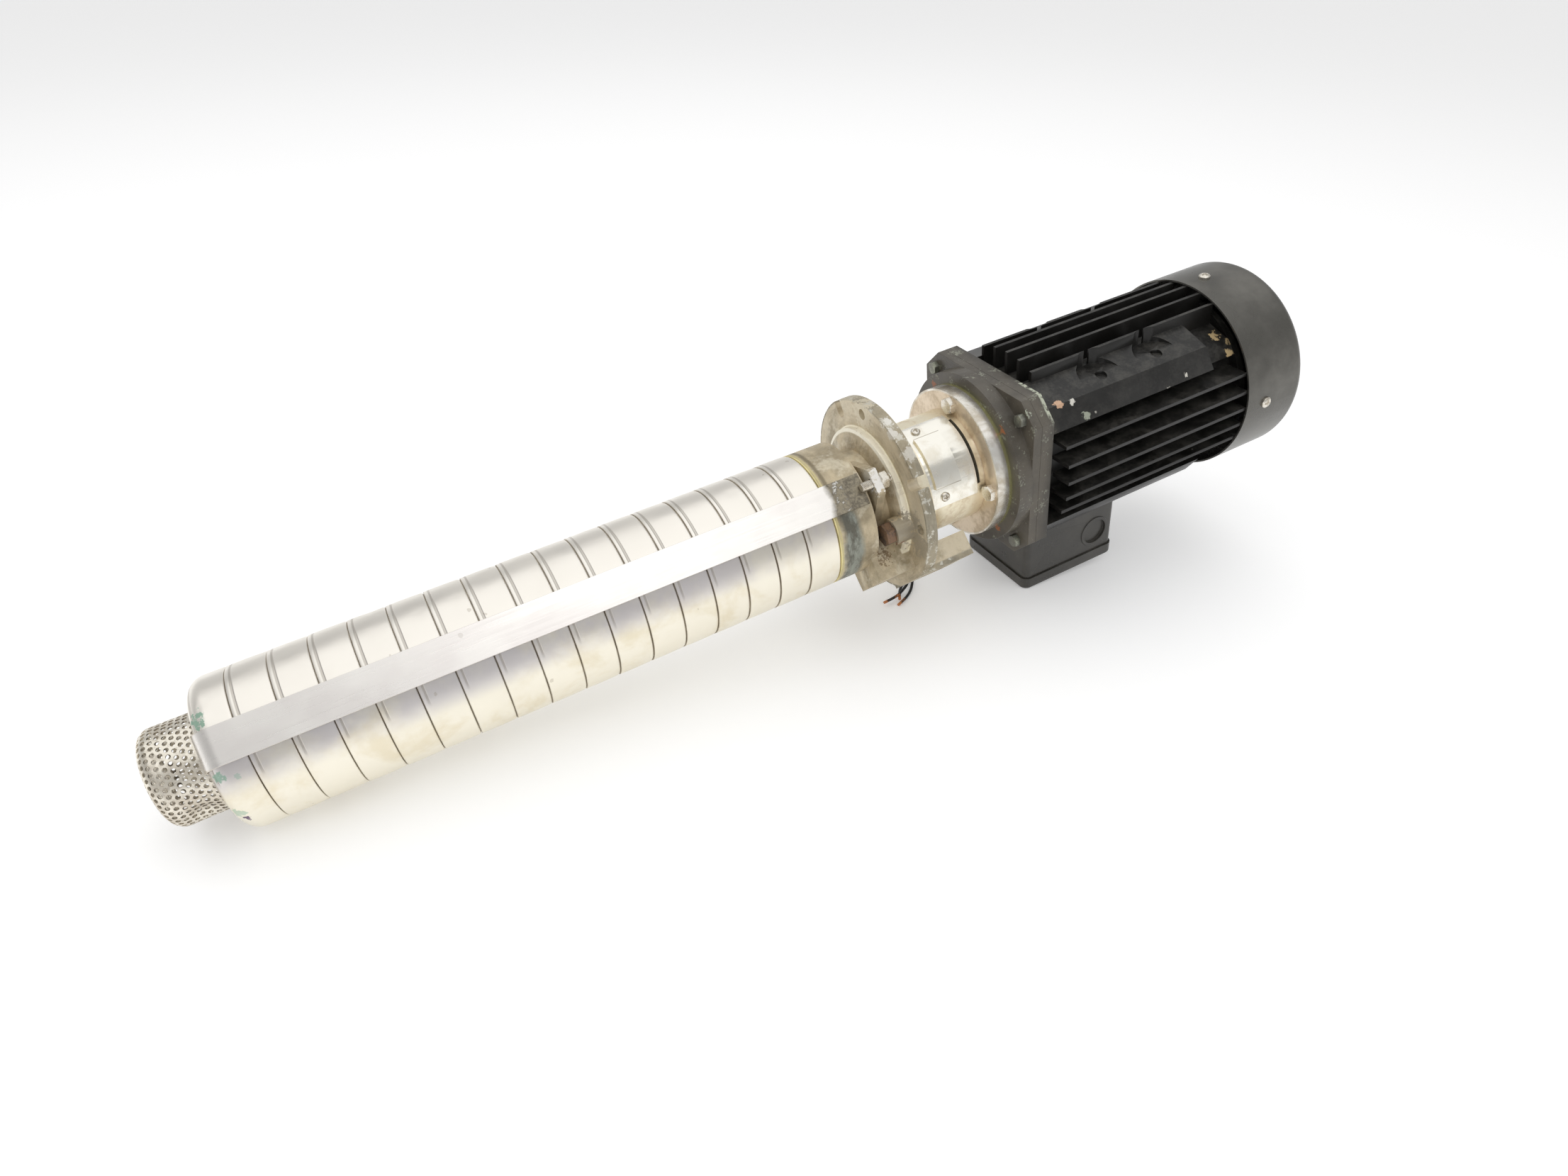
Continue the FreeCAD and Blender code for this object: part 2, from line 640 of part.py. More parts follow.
def make_impeller(number):
    """Closed impeller: hub and rear shroud, swept vanes, front shroud with the eye."""
    start = spigot_length + running_gap
    front = start + shroud_wall
    rear = front + impeller_width
    hub_end = stage_pitch + spigot_length - running_gap
    body = turned("impeller_%02d" % (number + 1), [
        (start, pump_shaft_radius), (start, hub_radius), (rear, hub_radius + shroud_wall * 2),
        (rear, impeller_radius), (rear + shroud_wall, impeller_radius),
        (rear + shroud_wall, hub_radius), (hub_end, hub_radius), (hub_end, pump_shaft_radius)])
    vane = blade(
        eye_radius - shroud_wall, impeller_radius - shroud_wall, impeller_sweep, vane_thickness)
    first = pad(body, "YZ_Plane", [vane], front - shroud_wall / 2, impeller_width + shroud_wall)
    polar(body, first, vane_count)
    bore = eye_radius - shroud_wall
    revolve(body, [
        (start - spigot_length, bore), (start - spigot_length, eye_radius), (start, eye_radius),
        (start, impeller_radius), (front, impeller_radius), (front, bore)])
    local = stack_start + stage_pitch * number
    turn = FreeCAD.Rotation(X_AXIS, impeller_turn * number)
    body.Placement = FreeCAD.Placement(Vector(local.value, 0, 0), turn)
    return body


def make_shafts():
    length = coupling_middle - shaft_end_gap / 2 - stack_start + shaft_overhang
    end = shoulder_bevel
    body = turned("pump_shaft", [
        (0, 0), (0, pump_shaft_radius - end), (end, pump_shaft_radius),
        (length - end, pump_shaft_radius), (length, pump_shaft_radius - end), (length, 0)])
    place(body, stack_start - shaft_overhang)
    start = coupling_middle + shaft_end_gap / 2
    front = housing_start
    bearing_shoulder = motor_shaft_radius + shaft_shoulder
    rear = housing_end - bearing_width
    tail = rear_shield_end + fan_station + fan_width
    body = turned("motor_shaft", [
        (start, 0), (start, motor_shaft_radius), (front, motor_shaft_radius),
        (front, bearing_shoulder), (rear, bearing_shoulder), (rear, motor_shaft_radius),
        (tail, motor_shaft_radius), (tail, 0)])
    place(body)


def make_coupling():
    """Two half shells clamped over the ends of both shafts."""
    start = coupling_middle - coupling_length / 2
    step = coupling_middle
    end = coupling_middle + coupling_length / 2
    screw_offset = (coupling_radius + motor_shaft_radius) / 2
    for label, turn in (("coupling_half_a", 0.0), ("coupling_half_b", 180.0)):
        body = turned(label, [
            (start, pump_shaft_radius), (start, coupling_radius), (end, coupling_radius),
            (end, motor_shaft_radius), (step, motor_shaft_radius), (step, pump_shaft_radius)])
        half = rectangle(start, -coupling_radius, end, coupling_radius)
        depth = coupling_radius + coupling_split / 2
        pocket(body, "XY_Plane", [half], -coupling_radius, depth)
        holes = []
        for station in (start + coupling_length / 4, end - coupling_length / 4):
            for side in (-1, 1):
                holes.append((station, screw_offset * side, coupling_screw_radius))
        pocket(body, "XY_Plane", holes, 0, coupling_radius)
        place(body, 0, turn)
    screws = []
    for station in (start + coupling_length / 4, end - coupling_length / 4):
        for side in (-1, 1):
            screw = cylinder("coupling_screw", coupling_screw_radius, coupling_screw_half * 2)
            screws.append(stand(screw, (station, screw_offset * side, -coupling_screw_half), Z_AXIS))
    place(gather("coupling_screws", screws))


def make_head():
    """Cast head: collar on the stack, neck, mounting flange and discharge block."""
    inner = chamber_radius - sheet_wall
    seat = head_length
    top = seat + flange_thickness
    seal_end = water_space_depth + seal_bore_length
    body = turned("pump_head_casting", [
        (0, inner), (0, chamber_radius), (collar_length, chamber_radius),
        (collar_length, head_neck_radius), (seat - flange_root_length, head_neck_radius),
        (seat - flange_root_rise, flange_root_radius), (seat, flange_root_radius),
        (seat, flange_radius), (top, flange_radius),
        (top, lantern_bore), (seal_end + seal_web, lantern_bore),
        (seal_end + seal_web, pump_shaft_radius + running_gap),
        (seal_end, pump_shaft_radius + running_gap), (seal_end, seal_bore),
        (water_space_depth, seal_bore), (water_space_depth, water_space_radius),
        (spigot_length * 2, water_space_radius), (spigot_length * 2, inner)])
    root = head_neck_radius - merge
    bulge = rectangle(root, -bulge_half_width, bulge_reach, bulge_half_width)
    pad(body, "YZ_Plane", [bulge], bulge_start, seat - bulge_start + overshoot)
    block = rectangle(block_inner, -block_half_width, block_reach, block_half_width)
    pad(body, "YZ_Plane", [block], seat, block_height)
    flush = rectangle(block_reach, -flange_radius, flange_radius + overshoot, flange_radius)
    pocket(body, "YZ_Plane", [flush], seat - overshoot, flange_thickness + overshoot * 2)
    lug_start = seat - strap_end + lug_gap
    stud_line = chamber_radius + strap_thickness + stud_radius
    lug_top = stud_line + lug_cover
    lug = [
        (-lug_foot_half, root), (lug_foot_half, root),
        (lug_half_width, lug_top), (-lug_half_width, lug_top)]
    first = pad(body, "YZ_Plane", [lug], lug_start, lug_length)
    polar(body, first, 2)
    hole = (0, stud_line, stud_radius + stud_play)
    first = pocket(body, "YZ_Plane", [hole], lug_start - overshoot, lug_length + overshoot * 2)
    polar(body, first, 2)
    across, up = around(-plug_turn, plug_circle)
    boss = (across, up, plug_radius)
    pad(body, "YZ_Plane", [boss], seat - plug_boss_length, plug_boss_length + overshoot)
    first_hole = around(block_turn - flange_hole_turn, bolt_circle_radius)
    hole = first_hole + (flange_hole_radius,)
    first = pocket(body, "YZ_Plane", [hole], seat - overshoot, flange_thickness + overshoot * 2)
    polar(body, first, 4)
    return body


def make_head_cuts(body):
    """The open bolt slots, the threaded port and the slanted passage behind it."""
    seat = head_length
    tools = []
    for index in (1, 2, 3):
        angle = block_turn - flange_hole_turn - flange_slot_turn + 90.0 * index
        across, up = around(angle, bolt_circle_radius)
        end = cylinder("slot_end", flange_slot_radius, flange_thickness + overshoot * 2)
        tools.append(stand(end, (seat - overshoot, across, up), X_AXIS))
        way = doc.addObject("Part::Box", "slot_way")
        way.setExpression("Length", (flange_thickness + overshoot * 2).text)
        way.setExpression("Width", (flange_radius - bolt_circle_radius + overshoot * 2).text)
        way.setExpression("Height", (flange_slot_radius * 2).text)
        turn = FreeCAD.Rotation(X_AXIS, angle)
        corner = turn.multVec(Vector(-overshoot.value, bolt_circle_radius.value, -flange_slot_radius.value))
        way.Placement = FreeCAD.Placement(corner + Vector(seat.value, 0, 0), turn)
        tools.append(way)
    port = cylinder("port", port_radius, port_depth + overshoot)
    port_x = seat + port_station
    tools.append(stand(port, (port_x, block_reach - port_depth, 0), Y_AXIS))
    low = Vector(passage_depth.value, passage_root.value, 0)
    passage_end = block_reach - port_depth + passage_entry
    high = Vector((port_x - port_radius).value, passage_end.value, 0)
    passage = cylinder("passage", passage_radius, (high - low).Length)
    tools.append(stand(passage, low, high - low))
    cut = doc.addObject("Part::Cut", "pump_head")
    cut.Base = body
    cut.Tool = fused("head_cuts", tools)
    place(cut, head_start, PUMP_TURN)


def make_head_fittings():
    inner = chamber_radius - sheet_wall
    gasket = turned("head_gasket", [
        (0, inner), (0, chamber_radius), (gasket_thickness, chamber_radius),
        (gasket_thickness, inner)])
    place(gasket, stack_end)
    seat_end = head_start + water_space_depth + seal_bore_length
    seat = turned("seal_seat", [
        (0, pump_shaft_radius + running_gap), (0, seal_bore), (seal_seat_length, seal_bore),
        (seal_seat_length, pump_shaft_radius + running_gap)])
    place(seat, seat_end - seal_seat_length)
    ring_length = seal_bore_length - seal_seat_length - running_gap
    ring = turned("seal_ring", [
        (0, pump_shaft_radius), (0, seal_ring_radius), (ring_length, seal_ring_radius),
        (ring_length, pump_shaft_radius)])
    place(ring, seat_end - seal_seat_length - running_gap - ring_length)
    across, up = around(-plug_turn, plug_circle)
    plug = hexagon("plug_hexagon", plug_flats, plug_length)
    stand(plug, (-plug_boss_length - plug_length, across, up), X_AXIS)
    place(gather("filling_plug", [plug]), 0, PUMP_TURN)


def make_straps():
    """Flat straps hooked under the inlet part, each with a threaded stud at its head end."""
    outer = chamber_radius + strap_thickness
    bend = inlet_rounding
    start = inlet_start
    end = -strap_end
    edge = chamber_radius - bend
    for label, turn in (("strap_front", PUMP_TURN + 180.0), ("strap_rear", PUMP_TURN)):
        body = doc.addObject("PartDesign::Body", label)
        side = [
            (start, edge - strap_hook), (start, edge), (start + bend, chamber_radius),
            (end, chamber_radius), (end, outer), (start + bend, outer),
            (start - strap_thickness, edge), (start - strap_thickness, edge - strap_hook)]
        pad_strap(body, side, bend)
        place(body, 0, turn)
    studs = []
    nuts = []
    stud_line = outer + stud_radius
    stud_start = -stud_end - stud_length
    nut_start = -strap_end + lug_gap + lug_length
    for side in (-1, 1):
        stud = cylinder("stud", stud_radius, stud_length)
        studs.append(stand(stud, (stud_start, 0, stud_line * side), X_AXIS))
        nut = hexagon("nut_body", nut_flats, nut_height)
        stand(nut, (nut_start, 0, stud_line * side), X_AXIS)
        hole = cylinder("nut_hole", stud_radius, nut_height + overshoot * 2)
        stand(hole, (nut_start - overshoot, 0, stud_line * side), X_AXIS)
        cut = doc.addObject("Part::Cut", "nut")
        cut.Base = nut
        cut.Tool = hole
        nuts.append(cut)
    place(gather("strap_studs", studs), 0, PUMP_TURN)
    place(gather("strap_nuts", nuts), 0, PUMP_TURN)


def pad_strap(body, side, bend):
    """Extrude the strap's side view across its width, with its bend as true arcs."""
    sketch = body.newObject("Sketcher::SketchObject", body.Label + "_side")
    sketch.AttachmentSupport = (origin_plane(body, "XZ_Plane"), "")
    sketch.MapMode = "FlatFace"
    centre = Vector((inlet_start + bend).value, (chamber_radius - bend).value, 0)
    corners = [Vector(as_size(a).value, as_size(b).value, 0) for a, b in side]
    for index in range(len(corners)):
        here = corners[index]
        there = corners[(index + 1) % len(corners)]
        if index in (1, 5):
            radius = (there - centre).Length
            middle = centre + Vector(-1, 1, 0).normalize() * radius
            sketch.addGeometry(Part.Arc(here, middle, there), False)
        else:
            sketch.addGeometry(Part.LineSegment(here, there), False)
    feature = body.newObject("PartDesign::Pad", body.Label + "_pad")
    feature.Profile = sketch
    feature.setExpression("Length", strap_width.text)
    feature.Midplane = True
    settle(body, feature, 0)


def make_stool():
    foot = stool_base
    top = stool_length + ring_thickness
    recess = spigot_depth + spigot_play
    body = turned("motor_stool_casting", [
        (0, stool_bore), (0, stool_base_radius), (foot, stool_base_radius),
        (foot, stool_radius), (stool_length, stool_radius), (stool_length, ring_radius),
        (top, ring_radius), (top, spigot_radius), (top - recess, spigot_radius),
        (top - recess, stool_bore)])
    low = foot + window_margin
    high = stool_length - window_margin
    window = rectangle(low, -window_half_width, high, window_half_width)
    pocket(body, "XY_Plane", [window], -stool_radius - overshoot, (stool_radius + overshoot) * 2)
    across, up = around(45.0, ring_bolt_circle)
    hole = (across, up, ring_bolt_radius)
    first = pocket(body, "YZ_Plane", [hole], stool_length - overshoot, ring_thickness + overshoot * 2)
    polar(body, first, 4)
    cut = doc.addObject("Part::Cut", "motor_stool")
    cut.Base = body
    cut.Tool = fused("guard_screw_holes", guard_screw_shanks(flange_top))
    place(cut, flange_top, PUMP_TURN)


def guard_screw_spots(origin):
    """Seat and outward direction of each guard screw, in the axes of a piece at the origin."""
    spots = []
    seat = (stool_radius + seat_clearance + guard_thickness).value
    middle = (guard_station + guard_screw_station - origin).value
    for side in (0.0, 180.0):
        for angle in (-guard_screw_angle, guard_screw_angle):
            turn = math.radians(angle + side)
            way = Vector(0, math.sin(turn), math.cos(turn))
            spots.append((way * seat + Vector(middle, 0, 0), way))
    return spots


def guard_screw_shanks(origin):
    shanks = []
    for spot, way in guard_screw_spots(origin):
        shank = cylinder("guard_screw_shank", guard_screw_radius, guard_screw_length)
        shanks.append(stand(shank, spot, way * -1))
    return shanks


def arc_sheet(inner, outer, angle):
    """A sector of a ring, centred on the local Z axis, as one closed wire."""
    half = math.radians(angle / 2)
    corners = []
    for radius, side in ((inner, -1), (inner, 0), (inner, 1), (outer, 1), (outer, 0), (outer, -1)):
        corners.append(Vector(0, radius * math.sin(half * side), radius * math.cos(half * side)))
    edges = [
        Part.Arc(corners[0], corners[1], corners[2]).toShape(),
        Part.LineSegment(corners[2], corners[3]).toShape(),
        Part.Arc(corners[3], corners[4], corners[5]).toShape(),
        Part.LineSegment(corners[5], corners[0]).toShape()]
    return Part.Face(Part.Wire(edges))


def make_guards():
    """Curved guards with a raised middle, one over each coupling window."""
    inner = (stool_radius + seat_clearance).value
    wall = guard_thickness.value
    length = guard_length.value
    rise = guard_rise.value
    margin = guard_margin.value
    middle = length - margin - guard_far_margin.value
    for label, turn in (("coupling_guard_front", PUMP_TURN + 180.0), ("coupling_guard_rear", PUMP_TURN)):
        sheet_metal = arc_sheet(inner, inner + wall, guard_angle).extrude(Vector(length, 0, 0))
        over = overshoot.value
        raised = arc_sheet(inner - over, inner + wall + rise, guard_rise_angle)
        inset = math.degrees(wall / inner) * 2
        hollow = arc_sheet(inner - over * 2, inner + rise, guard_rise_angle - inset)
        raised = raised.extrude(Vector(middle, 0, 0))
        hollow = hollow.extrude(Vector(middle - wall * 2, 0, 0))
        raised.translate(Vector(margin, 0, 0))
        hollow.translate(Vector(margin + wall, 0, 0))
        inside = Part.makeCylinder(inner, length, Vector(), X_AXIS)
        shape = sheet_metal.fuse(raised).cut(hollow).cut(inside)
        for spot, way in guard_screw_spots(guard_station):
            shape = shape.cut(Part.makeCylinder(guard_screw_radius.value, wall * 4, spot + way, way * -1))
        guard = doc.addObject("Part::Feature", label)
        guard.Shape = shape.removeSplitter()
        place(guard, guard_station, turn)
    screws = []
    shanks = guard_screw_shanks(as_size(0))
    for shank, (spot, way) in zip(shanks, guard_screw_spots(as_size(0))):
        head = cylinder("guard_screw_head", guard_screw_head, guard_screw_rise)
        screws.append(bolt("guard_screw", head, shank, spot, way * -1))
    place(gather("guard_screws", screws), 0, PUMP_TURN)


def make_ring_bolts():
    bolts = []
    for index in range(4):
        across, up = around(45.0 + 90.0 * index, ring_bolt_circle)
        head = hexagon("ring_bolt_head", ring_bolt_flats, ring_bolt_head)
        shank = cylinder("ring_bolt_shank", ring_bolt_radius, ring_bolt_length)
        bolts.append(bolt("ring_bolt", head, shank, (ring_start, across, up), X_AXIS))
    place(gather("ring_bolts", bolts), 0, PUMP_TURN)


def square_frame():
    """Outline of the square frames with their cut corners."""
    cut = frame_corner * math.sqrt(2.0) - frame_half_side
    side = frame_half_side
    return [
        (side, -cut), (side, cut), (cut, side), (-cut, side),
        (-side, cut), (-side, -cut), (-cut, -side), (cut, -side)]


def make_front_shield():
    bearing_end = shield_round + shield_frame
    inner = bearing_outer_radius
    body = turned("front_shield", [
        (-spigot_depth, motor_shaft_radius + running_gap), (-spigot_depth, spigot_radius),
        (0, spigot_radius), (0, shield_radius), (shield_round, shield_radius),
        (shield_round, spigot_radius), (bearing_end, spigot_radius), (bearing_end, inner),
        (bearing_end - bearing_width, inner),
        (bearing_end - bearing_width, inner - bearing_stop), (0, inner - bearing_stop),
        (0, motor_shaft_radius + running_gap)])
    pad(body, "YZ_Plane", [square_frame()], shield_round, shield_frame)
    hollow = (0, 0, inner)
    pocket(body, "YZ_Plane", [hollow], bearing_end - bearing_width, bearing_width + overshoot)
    across, up = around(45.0, corner_bolt_circle)
    hole = (across, up, corner_bolt_radius)
    first = pocket(body, "YZ_Plane", [hole], shield_round - overshoot, shield_frame + overshoot * 2)
    polar(body, first, 4)
    hole = (ring_bolt_circle, 0, ring_bolt_radius)
    depth = ring_bolt_length - ring_thickness
    first = pocket(body, "YZ_Plane", [hole], 0, depth)
    polar(body, first, 4)
    place(body, motor_face)


def fin_outline(offset):
    """One fin between the housing and the circle through the fin tips."""
    tip = math.sqrt(fin_tip.value ** 2 - offset.value ** 2) / fin_tip.value
    root = math.sqrt(housing_radius.value ** 2 - abs(offset.value) ** 2) / housing_radius.value
    half = fin_thickness / 2
    return rectangle(housing_radius * root - fin_root, offset - half, fin_tip * tip, offset + half)


def barrel_root(offset):
    """The other coordinate of a point inside the barrel wall, whose one coordinate is the offset."""
    reach = housing_radius - fin_root
    return reach * (math.sqrt(reach.value ** 2 - offset.value ** 2) / reach.value)


def rail_outlines(step):
    """The four corner rails, each with two faces that meet at its ridge, lowered by the step."""
    ridge = (rail_reach - step) / math.sqrt(2.0)
    fin = fin_pitch * outer_fin
    corner = [
        (barrel_root(rail_edge), rail_edge), (rail_side - step, rail_edge), (ridge, ridge),
        (fin, rail_shoulder - step), (fin, barrel_root(fin))]
    outlines = []
    for side in (-1, 1):
        for way in (-1, 1):
            outlines.append([(across * side, up * way) for across, up in corner])
    return outlines


def make_housing():
    """Finned housing: round barrel, square front frame, corner rails and terminal pad."""
    front = housing_front_frame
    body = turned("stator_housing", [
        (0, stator_radius), (0, housing_radius), (housing_length, housing_radius),
        (housing_length, stator_radius)])
    bore = (0, 0, stator_radius)
    pad(body, "YZ_Plane", [square_frame(), bore], 0, front)
    rail_start = front - overshoot
    pad(body, "YZ_Plane", rail_outlines(as_size(0)), rail_start, rail_length - rail_start)
    low_rails = rail_outlines(rail_step)
    pad(body, "YZ_Plane", low_rails, rail_start, housing_length - cover_overlap - rail_start)
    fin_start = front + fin_gap
    fin_length = housing_length - fin_start - cover_overlap
    for index in range(-outer_fin, outer_fin + 1):
        fin = fin_outline(fin_pitch * index)
        first = pad(body, "YZ_Plane", [fin], fin_start, fin_length)
        polar(body, first, 3, 180.0)
    pad_start = box_station + pad_margin - housing_start
    pad_length = box_length - pad_margin * 2
    pad_half = box_half_width - pad_margin
    pad(body, "XY_Plane", [rectangle(pad_start, -pad_half, pad_start + pad_length, pad_half)],
        -box_top, box_top - pad_root)
    pocket(body, "YZ_Plane", [bore], 0, housing_length)
    behind = pad_start + pad_length + pad_margin + fin_gap
    for index in range(-outer_fin, outer_fin + 1):
        fin = [(up, -across) for across, up in fin_outline(fin_pitch * index)]
        pad(body, "YZ_Plane", [fin], behind, housing_length - cover_overlap - behind)
    spots = []
    for station in (pad_station, pad_station + pad_spacing):
        for side in (-1, 1):
            spots.append((station, pad_across * side))
    faces = [spot + (pad_tool,) for spot in spots]
    pocket(body, "XY_Plane", faces, pad_height, pad_rise)
    dimples = [spot + (dimple_radius,) for spot in spots]
    pocket(body, "XY_Plane", dimples, pad_height - dimple_depth, dimple_depth + overshoot)
    across, up = around(45.0, corner_bolt_circle)
    hole = (across, up, corner_bolt_radius)
    depth = corner_bolt_grip - shield_frame
    first = pocket(body, "YZ_Plane", [hole], 0, depth)
    polar(body, first, 4)
    place(body, housing_start)


def make_stator():
    start = housing_start + stator_station
    core = turned("stator_core", [
        (0, stator_bore), (0, stator_radius), (stator_length, stator_radius),
        (stator_length, stator_bore)])
    place(core, start)
    heads = []
    places = (("winding_front", start - winding_length), ("winding_rear", start + stator_length))
    for label, station in places:
        head = turned(label, [
            (0, winding_inner), (0, winding_outer), (winding_length, winding_outer),
            (winding_length, winding_inner)])
        head.Placement = FreeCAD.Placement(Vector(station.value, 0, 0), FreeCAD.Rotation())
        heads.append(head)
    place(gather("winding_heads", heads))
    radius = stator_bore - rotor_gap
    shaft = motor_shaft_radius + shaft_shoulder
    rotor = turned("rotor_core", [
        (0, shaft), (0, radius), (stator_length, radius), (stator_length, shaft)])
    place(rotor, start)


def make_rear_shield():
    inner = bearing_outer_radius
    outer = inner + bearing_wall
    edge = housing_radius + rear_shield_lip
    body = turned("rear_shield", [
        (-bearing_width, inner), (-bearing_width, outer), (-rear_shield_wall, outer),
        (-rear_shield_wall, stator_radius), (0, stator_radius), (0, edge),
        (rear_shield_wall, edge), (rear_shield_length, outer),
        (rear_shield_length, motor_shaft_radius + running_gap),
        (0, motor_shaft_radius + running_gap), (0, inner)])
    foot = rectangle(fan_radius + fan_play, -cover_foot, cover_radius, cover_foot)
    first = pad(body, "YZ_Plane", [foot], 0, cover_foot_length)
    polar(body, first, 4)
    reach = cover_radius - cover_wall
    trim = rectangle(-overshoot, reach, cover_foot_length + overshoot, reach + cover_wall * 2)
    revolve(body, trim, "PartDesign::Groove")
    bottom = cover_radius - cover_screw_length
    first = pocket(body, "XY_Plane", [(cover_screw_station - cover_overlap, 0, cover_screw_radius)],
                   bottom, cover_screw_length)
    polar(body, first, 4)
    place(body, housing_end)


def make_bearings():
    """Sealed ball bearings: the outer rings with their seals, and the inner rings."""
    outers = []
    inners = []
    step = bearing_inner_radius + bearing_seal_gap
    for name, station in (("front", housing_start - bearing_width), ("rear", housing_end - bearing_width)):
        outer = turned("bearing_outer_" + name, [
            (0, step), (0, bearing_outer_radius), (bearing_width, bearing_outer_radius),
            (bearing_width, step)])
        inner = turned("bearing_inner_" + name, [
            (0, motor_shaft_radius), (0, bearing_inner_radius),
            (bearing_width, bearing_inner_radius), (bearing_width, motor_shaft_radius)])
        for item in (outer, inner):
            item.Placement = FreeCAD.Placement(Vector(station.value, 0, 0), FreeCAD.Rotation())
        outers.append(outer)
        inners.append(inner)
    place(gather("bearing_outer_rings", outers))
    place(gather("bearing_inner_rings", inners))


def make_fan():
    body = turned("fan", [
        (0, motor_shaft_radius), (0, fan_hub), (fan_disc, fan_hub + fan_disc),
        (fan_disc, fan_radius), (fan_disc * 2, fan_radius), (fan_disc * 2, fan_hub),
        (fan_width, fan_hub), (fan_width, motor_shaft_radius)])
    half = fan_disc / 2
    wing = rectangle(fan_hub - overshoot, -half, fan_radius, half)
    first = pad(body, "YZ_Plane", [wing], fan_disc * 1.5, fan_width - fan_disc * 1.5)
    polar(body, first, fan_blades)
    place(body, rear_shield_end + fan_station)


def make_fan_cover():
    inner = cover_radius - cover_wall
    body = turned("fan_cover", [
        (0, inner), (0, cover_radius), (cover_length, cover_radius), (cover_length, 0),
        (cover_length - cover_wall, 0), (cover_length - cover_wall, inner)])
    round_edges(body, cover_rounding, rim(cover_length, cover_radius))
    round_edges(body, cover_rounding - cover_wall, rim(cover_length - cover_wall, inner))
    half = grille_slot / 2
    slot = rectangle(grille_inner, -half, grille_outer, half)
    first = pocket(body, "YZ_Plane", [slot], cover_length - cover_wall - overshoot,
                   cover_wall + overshoot * 2)
    polar(body, first, grille_count)
    first = pocket(body, "XY_Plane", [(cover_screw_station, 0, cover_screw_radius)],
                   inner - overshoot * 2, cover_wall + overshoot * 4)
    polar(body, first, 4)
    place(body, cover_start)
    screws = []
    for index in range(4):
        turn = math.radians(90.0 * index)
        way = Vector(0, math.cos(turn), math.sin(turn))
        spot = way * cover_radius.value + Vector((cover_start + cover_screw_station).value, 0, 0)
        head = cylinder("cover_screw_head", cover_screw_head, cover_screw_rise)
        shank = cylinder("cover_screw_shank", cover_screw_radius, cover_screw_length)
        screws.append(bolt("cover_screw", head, shank, spot, way * -1))
    place(gather("fan_cover_screws", screws))


def make_corner_bolts():
    bolts = []
    for index in range(4):
        across, up = around(45.0 + 90.0 * index, corner_bolt_circle)
        head = hexagon("corner_bolt_head", corner_bolt_flats, corner_bolt_head)
        shank = cylinder("corner_bolt_shank", corner_bolt_radius, corner_bolt_grip)
        bolts.append(bolt("corner_bolt", head, shank, (frame_start, across, up), X_AXIS))
    place(gather("corner_bolts", bolts))


def upright(edge):
    """A test for the straight edges that run along Z."""
    if not isinstance(edge.Curve, (Part.Line, Part.LineSegment)):
        return False
    way = edge.Vertexes[-1].Point - edge.Vertexes[0].Point
    return way.normalize().cross(Z_AXIS).Length < 0.001


def make_terminal_box():
    """Cast box under the motor with two cable entries, open to its lid."""
    low = -(box_top + box_depth)
    outer = rectangle(box_station, -box_half_width, box_station + box_length, box_half_width)
    body = padded("terminal_box", "XY_Plane", [outer], low, box_depth)
    round_edges(body, box_corner, upright)
    inner = rectangle(
        box_station + box_wall, -box_half_width + box_wall,
        box_station + box_length - box_wall, box_half_width - box_wall)
    pocket(body, "XY_Plane", [inner], low, box_depth - box_floor)
    lid_holes = []
    for station in (box_station + lid_screw_inset, box_station + box_length - lid_screw_inset):
        for side in (-1, 1):
            lid_holes.append((station, (box_half_width - lid_screw_inset) * side))
    half = lid_post_half
    for x, y in lid_holes:
        post = rectangle(x - half, y - half, x + half, y + half)
        pad(body, "XY_Plane", [post], low, box_depth - box_floor / 2)
    drills = [(x, y, lid_screw_radius) for x, y in lid_holes]
    grip = lid_screw_length - lid_thickness + lid_screw_sink
    pocket(body, "XY_Plane", drills, low - overshoot, grip + overshoot)
    entry = (box_station + box_length - entry_inset, -box_top - entry_depth, entry_radius)
    pocket(body, "XZ_Plane", [entry], -box_half_width - overshoot, box_wall + overshoot * 2)
    ring = (box_station + box_length - entry_inset, -box_top - entry_depth, entry_radius + entry_rim_width)
    pad(body, "XZ_Plane", [ring], box_half_width - overshoot, entry_rim + overshoot)
    depth = box_wall / 2 + entry_rim
    pocket(body, "XZ_Plane", [entry], box_half_width - box_wall / 2, depth + overshoot)
    place(body)
    lid = padded("terminal_box_lid", "XY_Plane", [rectangle(
        box_station - lid_lip, -box_half_width - lid_lip,
        box_station + box_length + lid_lip, box_half_width + lid_lip)],
        low - lid_thickness, lid_thickness)
    round_edges(lid, box_corner + lid_lip, upright)
    face = (low - lid_thickness).value
    round_edges(lid, lid_rounding, lambda edge: abs(edge.BoundBox.ZMax - face) < 0.001)
    pocket(lid, "XY_Plane", drills, low - lid_thickness - overshoot, lid_thickness + overshoot * 2)
    sink = [(x, y, lid_screw_head + lid_screw_play) for x, y in lid_holes]
    pocket(lid, "XY_Plane", sink, low - lid_thickness - overshoot, lid_screw_sink + overshoot)
    place(lid)
    screws = []
    for x, y in lid_holes:
        head = cylinder("lid_screw_head", lid_screw_head, lid_screw_rise)
        shank = cylinder("lid_screw_shank", lid_screw_radius, lid_screw_length)
        spot = (x, y, low - lid_thickness + lid_screw_sink)
        screws.append(bolt("lid_screw", head, shank, spot, Z_AXIS))
    place(gather("lid_screws", screws))
    make_board()
    make_gland()


